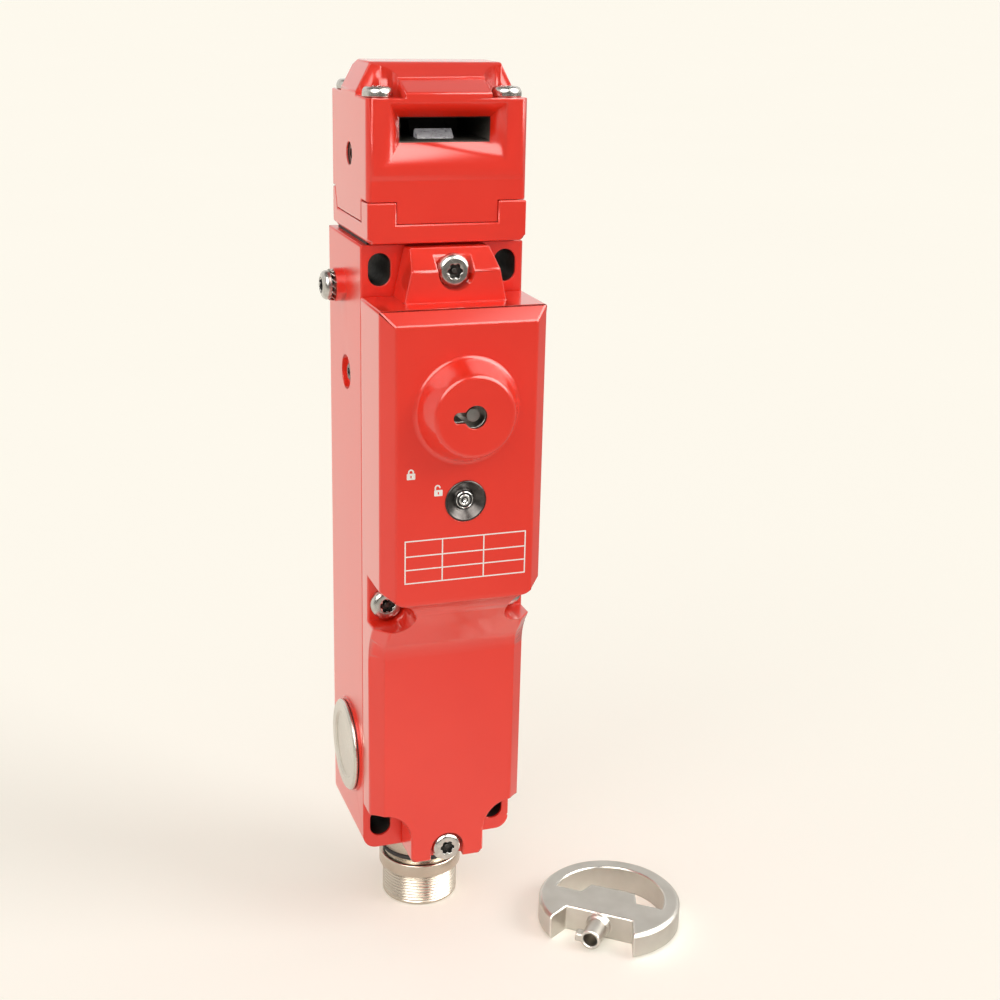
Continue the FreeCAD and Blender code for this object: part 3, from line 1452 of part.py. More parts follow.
def connector_shell():
    """Nickelled receptacle: thread diameter, collar, neck and the stub in the housing."""
    body = new_body("connector_shell")
    thread_top = d.thread_height
    collar_top = thread_top + d.collar_height
    ring_low = collar_top + 1.4
    ring_high = ring_low + d.ring_height
    floor = d.insert_face + d.insert_length
    profile = sketch_on(body, "front", 0.0)
    polygon(profile, [(d.connector_bore, 0.0), (d.connector_radius, 0.0),
                      (d.connector_radius, thread_top),
                      (d.collar_radius, thread_top), (d.collar_radius, collar_top),
                      (d.connector_radius - 0.6, collar_top), (d.connector_radius - 0.6, ring_high),
                      (d.neck_radius, ring_high), (d.neck_radius, bottom), (d.stub_radius, bottom),
                      (d.stub_radius, bottom + d.stub_length),
                      (d.connector_bore - 2.5, bottom + d.stub_length),
                      (d.connector_bore - 2.5, floor), (d.connector_bore, floor)])
    turn(body, "Revolution", profile)
    return keep(body, "connector_shell")


def connector_ring():
    ring_low = d.thread_height + d.collar_height + 1.4
    wall = rod("ring_wall", d.ring_radius, d.ring_height, (0.0, 0.0, ring_low))
    hole = rod("ring_hole", d.connector_radius - 0.6, d.ring_height, (0.0, 0.0, ring_low))
    return keep(cut("ring_cut", wall, [hole]), "connector_ring")


def connector_insert():
    disc = rod("insert_disc", d.connector_bore, d.insert_length, (0.0, 0.0, d.insert_face))
    holes = []
    for index, (x, y) in enumerate(pin_places()):
        holes.append(rod("insert_hole_%d" % index, d.pin_radius, d.pin_root, (x, y, d.insert_face)))
    return keep(cut("insert_cut", disc, holes), "connector_insert")


def pin_places():
    """Nine contacts on the outer circle and three on the inner one."""
    places = []
    for circle_radius, count in ((d.pin_circle, 9), (d.pin_inner_circle, 3)):
        for index in range(count):
            angle = 2 * math.pi * index / count
            places.append((circle_radius * math.cos(angle), circle_radius * math.sin(angle)))
    return places


def connector_pins():
    pins = []
    for index, (x, y) in enumerate(pin_places()):
        pins.append(rod("pin_%d" % index, d.pin_radius, d.pin_length + d.pin_root,
                        (x, y, d.insert_face - d.pin_length)))
    return keep(group("pins", pins), "connector_pins")


# ---------------------------------------------------------------- release key

def release_key():
    """Ring-shaped key with a finger opening, a notch and a hollow barrel with its lug.

    Drawn with the barrel along +X, then turned and laid on the floor beside the switch.
    """
    body = new_body("release_key")
    ring = sketch_on(body, "level", 0.0)
    circle(ring, 0.0, 0.0, d.key_radius)
    grow(body, "Pad", ring, d.key_thick)
    dress(body, "Chamfer", d.edge_round, lambda e: e.Curve.TypeId == "Part::GeomCircle")
    opening = sketch_on(body, "level", d.key_thick)
    key_opening_outline(opening)
    grow(body, "Pocket", opening, d.key_thick)
    notch = sketch_on(body, "level", d.key_thick)
    mouth = d.key_radius + 1.0
    polygon(notch, [(d.key_notch_root, -d.key_notch_half), (mouth, -d.key_notch_mouth),
                    (mouth, d.key_notch_mouth), (d.key_notch_root, d.key_notch_half)])
    grow(body, "Pocket", notch, d.key_thick)
    key_barrel(body)
    body.Placement = Placement(Vector(), Rotation(AXIS_Z, SIZES["key_angle"]))
    bind(body, "Placement.Base.x", d.key_right)
    bind(body, "Placement.Base.y", -d.key_front)
    return keep(body, "release_key")


def key_opening_outline(sketch):
    """Round opening cut off by a bar with a blunt bump in its middle."""
    radius = number(d.key_opening)
    bar = number(d.key_bar)
    start = math.acos(bar / radius)
    side = math.sqrt(radius * radius - bar * bar)
    arc = Part.ArcOfCircle(Part.Circle(Vector(), Vector(0, 0, 1), radius), start, 2 * math.pi - start)
    tip = bar - number(d.key_bump_height)
    points = [Vector(bar, -side, 0), Vector(bar, -number(d.key_bump_half), 0),
              Vector(tip, -number(d.key_bump_tip), 0), Vector(tip, number(d.key_bump_tip), 0),
              Vector(bar, number(d.key_bump_half), 0), Vector(bar, side, 0)]
    lines = [Part.LineSegment(points[i], points[i + 1]) for i in range(5)]
    first = sketch.addGeometry([arc] + lines, False)[0]
    for i in range(6):
        following = first + (i + 1) % 6
        sketch.addConstraint(Sketcher.Constraint("Coincident", first + i, 2, following, 1))
    place(sketch, first, 3, 0.0, 0.0)
    tie = sketch.addConstraint(Sketcher.Constraint("Radius", first, radius))
    bind(sketch, "Constraints[%d]" % tie, d.key_opening)
    for geometry, u in ((first + 1, d.key_bar), (first + 5, d.key_bar)):
        end = 1 if geometry == first + 1 else 2
        index = sketch.addConstraint(
            Sketcher.Constraint("DistanceX", -1, 1, geometry, end, number(u)))
        bind(sketch, "Constraints[%d]" % index, u)
    bump = d.key_bar - d.key_bump_height
    place(sketch, first + 2, 1, d.key_bar, -d.key_bump_half)
    place(sketch, first + 3, 1, bump, -d.key_bump_tip)
    place(sketch, first + 4, 1, bump, d.key_bump_tip)
    place(sketch, first + 5, 1, d.key_bar, d.key_bump_half)


def key_barrel(body):
    """Hollow barrel with a collar at its root and one driving lug near its tip."""
    middle = d.key_thick / 2
    root = d.key_notch_root - 1.0
    tube = sketch_on(body, "front", 0.0, 0.0, middle)
    polygon(tube, [(root, 0.0), (root, d.barrel_radius + 0.7), (d.key_notch_root + 1.2, d.barrel_radius + 0.7),
                   (d.key_notch_root + 1.6, d.barrel_radius), (d.barrel_reach, d.barrel_radius),
                   (d.barrel_reach, d.barrel_bore), (d.key_notch_root, d.barrel_bore),
                   (d.key_notch_root, 0.0)])
    turn(body, "Revolution", tube, "H_Axis")
    lug = sketch_on(body, "level", middle - d.lug_thick / 2)
    rectangle(lug, d.barrel_reach - d.lug_length, -d.lug_rise, d.barrel_reach,
              -d.barrel_bore - 0.3)
    grow(body, "Pad", lug, d.lug_thick)


# ---------------------------------------------------------------- build, check, write

housing()
cover()
cover_gasket()
cover_screws()
head_screws()
earth_screw()
earth_washer()
side_screw()
for side, word in ((-1, "left"), (1, "right")):
    conduit_plug(side, "conduit_plug_" + word)
    plug_seal(side, "plug_seal_" + word)
head_seal()
head_base()
head_housing()
cam_axle()
head_cam()
plunger_bush()
plunger()
coil_spring("plunger_spring", 0.0, d.cam_back, contact_top + 0.8, collar_low, d.spring_radius,
            d.spring_wire, 4)
contact_block()
contact_carrier()
contact_bridges()
fixed_contacts()
terminal_screws()
spring_plate()
solenoid_frame()
solenoid_bobbin()
solenoid_coil()
armature()
coil_spring("armature_spring", 0.0, coil_y, frame_low + d.solenoid_plate, armature_low,
            d.armature_radius - 0.9, d.spring_wire, 5)
release_link()
lock_lever()
lever_pin()
release_rotor()
rotor_seal()
rotor_retainer()
led_bezel()
led_lens()
indicator_board()
connector_shell()
connector_ring()
connector_insert()
connector_pins()
release_key()

doc.recompute()
faults = [item.Name for item in doc.Objects if "Invalid" in item.State or "Error" in item.State]
for piece in pieces:
    if piece.Shape.isNull() or not piece.Shape.isValid() or not piece.Shape.Solids:
        faults.append(piece.Label)
if faults:
    raise RuntimeError("failed: " + ", ".join(faults))

os.makedirs("parts", exist_ok=True)
for piece in pieces:
    piece.Shape.exportStep("parts/%s.step" % piece.Label)
    print("%-20s %3d solids %9.1f mm3" % (piece.Label, len(piece.Shape.Solids), piece.Shape.Volume))
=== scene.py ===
import bmesh
import bpy
import json
import math
from mathutils import Matrix, Vector


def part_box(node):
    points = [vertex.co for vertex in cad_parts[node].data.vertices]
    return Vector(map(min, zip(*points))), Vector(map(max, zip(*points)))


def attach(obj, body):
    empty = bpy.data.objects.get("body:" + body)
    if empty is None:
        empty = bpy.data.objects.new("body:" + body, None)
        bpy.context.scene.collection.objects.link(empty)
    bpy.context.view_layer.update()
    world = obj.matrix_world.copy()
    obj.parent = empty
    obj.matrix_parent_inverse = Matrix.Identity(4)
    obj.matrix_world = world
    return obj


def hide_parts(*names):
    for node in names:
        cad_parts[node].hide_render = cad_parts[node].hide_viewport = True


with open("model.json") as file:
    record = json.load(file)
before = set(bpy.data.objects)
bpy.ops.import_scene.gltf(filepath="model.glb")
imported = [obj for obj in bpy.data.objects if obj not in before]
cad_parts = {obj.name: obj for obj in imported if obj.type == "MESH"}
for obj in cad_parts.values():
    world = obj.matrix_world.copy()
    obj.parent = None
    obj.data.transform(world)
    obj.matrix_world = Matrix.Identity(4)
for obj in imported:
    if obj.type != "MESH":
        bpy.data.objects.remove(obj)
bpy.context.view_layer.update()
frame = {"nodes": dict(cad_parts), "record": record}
MM = 0.001

# Places read from the solids, in metres unless the line says millimetres.
COVER_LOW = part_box("cover")[0]
HOUSING_LOW, HOUSING_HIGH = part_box("housing")
SHELL_LOW, SHELL_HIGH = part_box("connector_shell")
BEZEL_LOW, BEZEL_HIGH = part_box("led_bezel")
FACE_Y = BEZEL_LOW.y + 0.3 * MM          # front face of the cover's thick upper part
LAMP = Vector((0.0, FACE_Y, (BEZEL_LOW.z + BEZEL_HIGH.z) / 2))
ROOF_RISE = 9.5                          # from just under the head's screw shelves to its roof, mm
HEAD_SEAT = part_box("head_housing")[1].z / MM - ROOF_RISE     # mm
HEAD_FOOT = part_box("head_base")[0].z / MM                    # mm
COVER_FOOT = COVER_LOW.z / MM                                # mm

# The camera: its turn in degrees, place in millimetres and lens.
CAMERA_YAW, CAMERA_DIP, CAMERA_ROLL = 19.51, 18.43, 1.35
CAMERA_PLACE = (-124.69, -419.58, 274.35)
CAMERA_LENS = 57.17

# The way from the switch to each soft light.
RIGHT_LIGHT = (0.66, -0.47, 0.58)
LEFT_LIGHT = (-0.46, -0.60, 0.65)
FILL_LIGHT = (-0.93, -0.25, 0.25)

GLASSY = 1.45                            # refractive index of enamel and ink


# ---------------------------------------------------------------- camera and light

def product_camera():
    """The camera at the product view: turned to the right, tipped down and a little off level."""
    yaw, dip, roll = (math.radians(angle) for angle in (CAMERA_YAW, CAMERA_DIP, CAMERA_ROLL))
    forward = Vector((math.sin(yaw) * math.cos(dip), math.cos(yaw) * math.cos(dip), -math.sin(dip)))
    level = Vector((math.cos(yaw), -math.sin(yaw), 0.0))
    rise = level.cross(forward)
    right = math.cos(roll) * level + math.sin(roll) * rise
    up = math.cos(roll) * rise - math.sin(roll) * level
    data = bpy.data.cameras.new("product_camera")
    data.lens = CAMERA_LENS
    data.sensor_width = 36.0
    data.clip_start = 0.01
    data.clip_end = 200.0
    camera = bpy.data.objects.new("product_camera", data)
    turn = Matrix((right, up, -forward)).transposed().to_4x4()
    camera.matrix_world = Matrix.Translation(Vector(CAMERA_PLACE) * MM) @ turn
    bpy.context.scene.collection.objects.link(camera)
    bpy.context.scene.camera = camera


def broad_lamp(name, way, strength, spread):
    """A wide soft lamp far away; its mirror image is left to the surround's bright zones."""
    data = bpy.data.lights.new(name, "SUN")
    data.energy = strength
    data.angle = math.radians(spread)
    lamp = bpy.data.objects.new(name, data)
    lamp.rotation_mode = "QUATERNION"
    lamp.rotation_quaternion = (-Vector(way)).to_track_quat("-Z", "Y")
    lamp.visible_glossy = False
    bpy.context.scene.collection.objects.link(lamp)


# ---------------------------------------------------------------- shader expressions

def join(port, value):
    """Gives a node's input a wire, a colour, a vector or a number."""
    if isinstance(value, Wire):
        port.id_data.links.new(value.socket, port)
    elif isinstance(value, (tuple, list)) and len(port.default_value) == 4 and len(value) == 3:
        port.default_value = (*value, 1.0)
    else:
        port.default_value = value


class Wire:
    """A node's output; sums and products of wires add their Math nodes."""

    def __init__(self, socket):
        self.socket = socket

    def __getitem__(self, name):
        return Wire(self.socket.node.outputs[name])

    def math(self, operation, first, second=0.0, clamp=False):
        node = self.socket.id_data.nodes.new("ShaderNodeMath")
        node.operation = operation
        node.use_clamp = clamp
        join(node.inputs[0], first)
        join(node.inputs[1], second)
        return Wire(node.outputs[0])

    def __add__(self, other):
        return self.math("ADD", self, other)

    def __radd__(self, other):
        return self.math("ADD", other, self)

    def __sub__(self, other):
        return self.math("SUBTRACT", self, other)

    def __rsub__(self, other):
        return self.math("SUBTRACT", other, self)

    def __mul__(self, other):
        return self.math("MULTIPLY", self, other)

    def __rmul__(self, other):
        return self.math("MULTIPLY", other, self)

    def __truediv__(self, other):
        return self.math("DIVIDE", self, other)

    def held(self):
        """The value kept between 0 and 1."""
        return self.math("ADD", self, 0.0, clamp=True)

    def past(self, edge, width):
        """0 below edge, rising to 1 over width."""
        return ((self - edge) / width).held()


class Finish:
    """One material or world: its node tree, and the shader that the surface shows."""

    def __init__(self, name, world=False, **constants):
        self.data = bpy.data.worlds.new(name) if world else bpy.data.materials.new(name)
        self.data.use_nodes = True
        self.tree = self.data.node_tree
        self.surface = None if world else self.tree.nodes["Principled BSDF"]
        for socket, value in constants.items():
            join(self.surface.inputs[socket.replace("_", " ")], value)

    def node(self, kind, settings=None, ports=None, out=0):
        """A node of that type, its settings made first, then its inputs by name or number."""
        node = self.tree.nodes.new("ShaderNode" + kind)
        for key, value in (settings or {}).items():
            setattr(node, key, value)
        for port, value in (ports or {}).items():
            join(node.inputs[port], value)
        return Wire(node.outputs[out])

    def place(self, stretch=(1.0, 1.0, 1.0)):
        """The point on the piece in metres, stretched along each axis."""
        spot = self.node("TexCoord", out="Object")
        return self.node("VectorMath", {"operation": "MULTIPLY"}, {0: spot, 1: stretch})

    def noise(self, place, scale, detail=2.0, rough=0.5):
        return self.node("TexNoise", None, {"Vector": place, "Scale": scale, "Detail": detail,
                                            "Roughness": rough})

    def cells(self, place, scale):
        return self.node("TexVoronoi", None, {"Vector": place, "Scale": scale})

    def blend(self, mask, first, second):
        return self.node("Mix", {"data_type": "RGBA"}, {0: mask, 6: first, 7: second}, out=2)

    def rounded(self, radius):
        """The normal of an edge eased to that radius in millimetres, and how near an edge is."""
        soft = self.node("Bevel", {"samples": 6}, {"Radius": radius * MM})
        sharp = self.node("NewGeometry", out="Normal")
        same = self.node("VectorMath", {"operation": "DOT_PRODUCT"}, {0: soft, 1: sharp},
                         out="Value")
        return soft, ((1.0 - same) * 5.0).held()

    def wear(self, **wires):
        """Joins the wires that vary over the surface to the shader."""
        for socket, value in wires.items():
            join(self.surface.inputs[socket.replace("_", " ")], value)
        return self.data

    def bump(self, height, depth, normal=None):
        ports = {"Height": height, "Distance": depth, "Strength": 1.0}
        if normal:
            ports["Normal"] = normal
        return self.node("Bump", None, ports)


# ---------------------------------------------------------------- finishes

def gloss_paint(name, skin, bores=None):
    """Sprayed gloss enamel on a die casting.

    skin is the roughness of its gloss layer, and bores masks the recesses painted near-black as
    shade, where the casting is also left bare of enamel.
    """
    finish = Finish(name, IOR=GLASSY, Coat_IOR=GLASSY, Coat_Roughness=skin)
    place = finish.place()
    drift = finish.noise(place, 32.0, 3.0)
    peel = finish.noise(place, 520.0, 1.0)
    nibs = finish.cells(place, 420.0)["Distance"]
    soft, edge = finish.rounded(0.6)
    deep = finish.blend(drift.past(0.3, 0.4), (0.79, 0.024, 0.0085), (0.83, 0.031, 0.0115))
    # Edges painted lighter: partly thinner paint on the edges, partly a painted highlight.
    colour = finish.blend(edge * 0.3, deep, (0.90, 0.09, 0.05))
    speck = 1.0 - nibs.past(0.03, 0.02)
    rough = 0.26 + drift * 0.06
    normal = finish.bump(peel + speck * 1.5, 0.0000045, soft)
    if not bores:
        return finish.wear(Base_Color=colour, Roughness=rough, Coat_Weight=1.0 - speck * 0.4,
                           Normal=normal)
    inside = bores(finish)
    cast = finish.noise(place, 900.0, 3.0)
    # Inside the bores the colour is painted shade: near-black bare casting without the coat.
    colour = finish.blend(inside, colour, (0.055, 0.052, 0.045))
    rough = rough + inside * (0.1 + cast * 0.3)
    return finish.wear(Base_Color=colour, Metallic=inside * 0.75, Roughness=rough,
                       Coat_Weight=1.0 - inside, Normal=normal)


def within(finish, low, high, ease=0.15 * MM):
    """1 inside the box between two corners, 0 outside it."""
    parts = finish.node("SeparateXYZ", None, {0: finish.node("TexCoord", out="Object")}, out="X")
    mask = 1.0
    for axis, start, end in zip("XYZ", low, high):
        mask = parts[axis].past(start, ease) * (1.0 - parts[axis].past(end, ease)) * mask
    return mask


def slot_bores(finish):
    """The four mounting slots behind the housing's front face, painted dark as shade and left bare.
    """
    half_wide, half_tall = 4.5 * MM, 6.2 * MM
    mask = 0.0
    for mount in frame["record"]["mounts"]:
        if mount["kind"] != "bolt_pattern":
            continue
        centre = Vector(mount["pos_m"])
        half = mount["dims"]["spacing_y_mm"] / 2 * MM
        for rise in (-half, half):
            low = (centre.x - half_wide, HOUSING_LOW.y + 0.7 * MM, centre.z + rise - half_tall)
            high = (centre.x + half_wide, HOUSING_HIGH.y - 0.5 * MM, centre.z + rise + half_tall)
            mask = within(finish, low, high) + mask
    return mask.held()


def tongue_passage(finish):
    """The head's inside, behind the funnel of its front slot and under its top, painted dark as
    shade.
    """
    low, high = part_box("head_housing")
    return within(finish, (low.x + 0.3 * MM, low.y + 3.6 * MM, low.z + 4.0 * MM),
                  (high.x - 0.3 * MM, high.y - 1.2 * MM, high.z - ROOF_RISE * MM))


def keyhole_inside(finish):
    """The keyhole behind the boss's face, painted dark as shade."""
    low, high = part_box("release_rotor")
    return within(finish, (low.x, COVER_LOW.y + 0.5 * MM, low.z), (high.x, high.y, high.z))


def turned_nickel():
    """Bright nickel plate over turned brass, with fine tool lines round the axis."""
    finish = Finish("turned_nickel_plate", Metallic=1.0)
    place = finish.place((60.0, 60.0, 5200.0))
    lines = finish.noise(place, 1.0, 2.0)
    cloud = finish.noise(finish.place(), 90.0, 3.0)
    soft, edge = finish.rounded(0.3)
    colour = finish.blend(cloud.past(0.3, 0.5), (0.50, 0.44, 0.365), (0.66, 0.59, 0.50))
    # Edges painted lighter: a painted highlight.
    colour = finish.blend(edge * 0.5, colour, (0.86, 0.83, 0.78))
    normal = finish.bump(lines, 0.000005, soft)
    rough = 0.16 + lines * 0.08 + cloud * 0.1
    return finish.wear(Base_Color=colour, Roughness=rough, Normal=normal)


def faced_nickel():
    """Nickel plate on a faced disc: tool rings and a few light handling marks."""
    finish = Finish("faced_nickel_plate", Metallic=1.0)
    place = finish.place((5200.0, 60.0, 60.0))
    lines = finish.noise(place, 1.0, 2.0)
    cloud = finish.noise(finish.place(), 110.0, 4.0)
    scuff = finish.noise(finish.place((300.0, 1800.0, 500.0)), 1.0, 4.0, 0.7)
    soft, edge = finish.rounded(0.4)
    colour = finish.blend(cloud.past(0.3, 0.5), (0.58, 0.54, 0.48), (0.74, 0.70, 0.64))
    # Edges painted lighter: a painted highlight.
    colour = finish.blend(edge * 0.5, colour, (0.86, 0.84, 0.80))
    normal = finish.bump(lines * 0.5 + scuff, 0.000006, soft)
    rough = 0.2 + cloud * 0.12 + scuff.past(0.6, 0.2) * 0.15
    return finish.wear(Base_Color=colour, Roughness=rough, Normal=normal)


def zinc_steel():
    """Zinc-plated screw steel: bright, faintly grained, with darker tarnish in patches."""
    finish = Finish("zinc_screw_steel", Metallic=1.0)
    place = finish.place()
    grain = finish.noise(place, 2600.0, 3.0)
    tarnish = finish.noise(place, 420.0, 4.0, 0.6)
    soft, edge = finish.rounded(0.18)
    colour = finish.blend(tarnish.past(0.35, 0.4), (0.46, 0.44, 0.41), (0.70, 0.68, 0.65))
    # Edges painted lighter: a painted highlight.
    colour = finish.blend(edge * 0.6, colour, (0.84, 0.83, 0.81))
    normal = finish.bump(grain, 0.000006, soft)
    rough = 0.12 + grain * 0.1 + tarnish * 0.1
    return finish.wear(Base_Color=colour, Roughness=rough, Normal=normal)


def satin_nickel():
    """Satin plate on the die-cast key: soft grain, smoother along its edges from handling, with the
    edges painted lighter as a painted highlight.
    """
    finish = Finish("satin_nickel_key", Metallic=1.0)
    place = finish.place()
    grain = finish.noise(place, 2200.0, 4.0, 0.6)
    cloud = finish.noise(place, 120.0, 3.0)
    soft, edge = finish.rounded(1.1)
    colour = finish.blend(cloud.past(0.3, 0.5), (0.57, 0.54, 0.495), (0.68, 0.65, 0.605))
    # Edges painted lighter as a painted highlight; the lower roughness there is the handling
    # polish.
    colour = finish.blend(edge * 0.8, colour, (0.86, 0.84, 0.80))
    normal = finish.bump(grain, 0.000014, soft)
    rough = 0.30 + grain * 0.12 - edge * 0.16
    return finish.wear(Base_Color=colour, Roughness=rough, Normal=normal)


def ground_steel():
    """Hardened and ground steel of the rotor, plunger, lock lever and its pin, link, armature,
    frame, springs and retainer.
    """
    finish = Finish("ground_bright_steel", Metallic=1.0)
    lines = finish.noise(finish.place((4200.0, 240.0, 240.0)), 1.0, 3.0)
    cloud = finish.noise(finish.place(), 260.0, 3.0)
    soft, edge = finish.rounded(0.2)
    colour = finish.blend(cloud.past(0.35, 0.4), (0.34, 0.33, 0.31), (0.50, 0.485, 0.46))
    # Edges painted lighter: a painted highlight.
    colour = finish.blend(edge * 0.6, colour, (0.80, 0.79, 0.77))
    normal = finish.bump(lines, 0.000008, soft)
    return finish.wear(Base_Color=colour, Roughness=0.26 + lines * 0.16, Normal=normal)


def cast_cam():
    """The head's cam, rough steel: its front painted bright and glowing as painted light, its back
    painted dark as shade.
    """
    finish = Finish("cast_steel_cam", Metallic=0.8)
    grain = finish.noise(finish.place(), 1500.0, 4.0, 0.7)
    low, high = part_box("head_cam")
    nose = low.y + 3.4 * MM              # how far back the painted lit front reaches
    # The cam's front is painted bright as painted light, the rest painted dark as painted shade.
    painted_lit_front = within(finish, (low.x - MM, low.y - MM, low.z), (high.x + MM, nose, high.z + MM))
    bright = finish.blend(grain.past(0.35, 0.3), (0.80, 0.78, 0.80), (0.98, 0.97, 0.95))
    colour = finish.blend(painted_lit_front, (0.06, 0.058, 0.055), bright)
    normal = finish.bump(grain, 0.00012)
    # The cam glows a little as a painted highlight, though it is no lamp.
    finish.surface.inputs["Emission Strength"].default_value = 0.22
    painted_glow = finish.blend(painted_lit_front * grain.past(0.3, 0.3), (0.0, 0.0, 0.0), (1.0, 0.95, 1.0))
    return finish.wear(Base_Color=colour, Roughness=0.3 + grain * 0.3, Normal=normal,
                       Emission_Color=painted_glow)


def plain(name, dark, light, scale, depth, low, high, **constants):
    """A moulded or plated surface: two close tones in patches, and a fine grain.

    scale is the patches' fineness, depth the grain's in metres, and low to high the roughness.
    """
    finish = Finish(name, **constants)
    place = finish.place()
    cloud = finish.noise(place, scale, 4.0, 0.6)
    grain = finish.noise(place, scale * 14.0, 3.0)
    colour = finish.blend(cloud.past(0.3, 0.4), dark, light)
    normal = finish.bump(grain, depth)
    return finish.wear(Base_Color=colour, Roughness=low + grain * (high - low), Normal=normal)


def wound_copper():
    """Enamelled wire laid in turns round the bobbin."""
    finish = Finish("wound_copper_wire", Metallic=1.0)
    spot = finish.node("TexCoord", out="Object")
    height = finish.node("SeparateXYZ", None, {0: spot}, out="Z")
    turns = height.math("SINE", height * 9000.0) * 0.5 + 0.5
    cloud = finish.noise(spot, 300.0, 3.0)
    # The colour runs dark between the turns and light on their crests: painted shade and highlight.
    colour = finish.blend(turns * 0.6 + cloud * 0.4, (0.26, 0.08, 0.03), (0.66, 0.30, 0.14))
    normal = finish.bump(turns, 0.0001)
    return finish.wear(Base_Color=colour, Roughness=0.24 + cloud * 0.2, Normal=normal)


def smoked_chrome():
    """Dark chrome of the lamp's dish, with faint tool rings."""
    finish = Finish("smoked_chrome_dish", Metallic=1.0)
    cloud = finish.noise(finish.place(), 500.0, 4.0, 0.6)
    grain = finish.noise(finish.place(), 3600.0, 2.0)
    soft, edge = finish.rounded(0.2)
    colour = finish.blend(cloud.past(0.3, 0.4), (0.045, 0.041, 0.040), (0.105, 0.097, 0.093))
    # Edges painted lighter: a painted highlight.
    colour = finish.blend(edge * 0.5, colour, (0.30, 0.28, 0.27))
    normal = finish.bump(grain, 0.000008, soft)
    return finish.wear(Base_Color=colour, Roughness=0.24 + cloud * 0.16, Normal=normal)


def lamp_lens():
    """Ringed clear lens over its grey diffuser."""
    finish = Finish("ringed_lamp_lens", Metallic=0.85, IOR=1.55, Coat_Weight=0.8,
                    Coat_Roughness=0.03)
    cloud = finish.noise(finish.place(), 900.0, 2.0)
    colour = finish.blend(cloud.past(0.3, 0.4), (0.55, 0.54, 0.52), (0.80, 0.79, 0.77))
    return finish.wear(Base_Color=colour, Roughness=0.08 + cloud * 0.08)


def white_ink():
    """Pad-printed ink: a thin matt layer with pinholes where the red shows."""
    finish = Finish("white_printing_ink", IOR=GLASSY)
    place = finish.place()
    cover = finish.noise(place, 2600.0, 3.0, 0.7)
    colour = finish.blend(cover.past(0.68, 0.08), (0.82, 0.79, 0.74), (0.72, 0.28, 0.22))
    normal = finish.bump(cover, 0.000006)
    return finish.wear(Base_Color=colour, Roughness=0.4 + cover * 0.2, Normal=normal)


def pale_floor():
    """Matt studio paper that keeps the shadow and meets the background's tone.

    For what mirrors it, the paper falls dim in front of the switch and at its right.
    """
    finish = Finish("studio_paper", Specular_IOR_Level=0.0, Roughness=1.0)
    fibre = finish.noise(finish.place(), 3.0, 3.0)
    colour = finish.blend(fibre.past(0.2, 0.6), (0.945, 0.925, 0.865), (0.955, 0.935, 0.875))
    finish.wear(Base_Color=colour)
    path = finish.node("LightPath", out="Is Camera Ray")
    seen = (path + path["Is Glossy Ray"] + path["Is Transmission Ray"]).held()
    glow_share = 0.12
    glow = finish.node("Emission", None, {"Color": (1.0, 0.92, 0.75), "Strength": 1.9})
    paper = Wire(finish.surface.outputs[0])
    lit = finish.node("MixShader", None, {0: seen * glow_share, 1: paper, 2: glow})
    spot = finish.node("TexCoord", out="Object")
    parts = finish.node("SeparateXYZ", None, {0: spot}, out="X")
    nearer = (0.0 - parts["Y"]).past(0.13, 0.6) * 0.9
    beside = parts["X"].past(0.03, 0.12) * 0.85 * (1.0 - nearer)
    dim = finish.node("Emission", None, {"Color": (1.0, 0.94, 0.86), "Strength": 0.25})
    dimmed = (nearer + beside) * path["Is Glossy Ray"]
    room = finish.node("MixShader", None, {0: dimmed, 1: lit, 2: dim})
    join(finish.tree.nodes["Material Output"].inputs["Surface"], room)
    return finish.data


def studio_world():
    """Even daylight for the surfaces, and the pale tone that the camera sees.

    What mirrors it sees a pale back, a dark front and ceiling, and two bright zones.
    """
    finish = Finish("studio_surround", world=True)
    path = finish.node("LightPath", out="Is Camera Ray")
    spot = finish.node("TexCoord", out="Generated")
    parts = finish.node("SeparateXYZ", None, {0: spot}, out="X")
    shiny = (path["Is Glossy Ray"] + path["Is Transmission Ray"]).held()
    dark, pale = 0.22, 0.76
    mirrored = dark + parts["Y"].past(-0.55, 0.6) * (1.0 - parts["Z"].past(0.55, 0.3)) * pale
    for way, wide, bright in ((RIGHT_LIGHT, 0.46, 7.5), (LEFT_LIGHT, 0.38, 6.5)):
        apart = finish.node("VectorMath", {"operation": "DISTANCE"}, {0: spot, 1: way}, out="Value")
        mirrored = mirrored + (1.0 - apart.past(wide, 0.1)) * bright
    light = finish.node("Background", None, {"Color": (1.0, 0.985, 0.955), "Strength": 0.60})
    seen = finish.node("Background", None, {"Color": (1.0, 0.965, 0.87), "Strength": 1.0})
    shown = finish.node("Background", None, {"Color": (1.0, 0.98, 0.93), "Strength": mirrored})
    inner = finish.node("MixShader", None, {0: shiny, 1: light, 2: shown})
    outer = finish.node("MixShader", None, {0: path, 1: inner, 2: seen})
    join(finish.tree.nodes["World Output"].inputs["Surface"], outer)
    bpy.context.scene.world = finish.data


# ---------------------------------------------------------------- shapes

def piece(name, mesh, finish, body, stands_for=(), sharp=35.0, recess=None):
    """Puts a mesh in the scene as one piece that rides on a body.

    Edges sharper than that angle stay crisp, and the recess finish, dark as painted shade, covers
    the faces marked for it.
    """
    bmesh.ops.recalc_face_normals(mesh, faces=mesh.faces)
    data = bpy.data.meshes.new(name)
    mesh.to_mesh(data)
    mesh.free()
    for face in data.polygons:
        face.use_smooth = True
    data.set_sharp_from_angle(angle=math.radians(sharp))
    for layer in (finish, recess) if recess else (finish,):
        data.materials.append(layer)
    thing = bpy.data.objects.new(name, data)
    bpy.context.scene.collection.objects.link(thing)
    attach(thing, body)
    if stands_for:
        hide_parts(*stands_for)
    return thing


def in_metres(rings):
    return [(radius * MM, height * MM) for radius, height in rings]


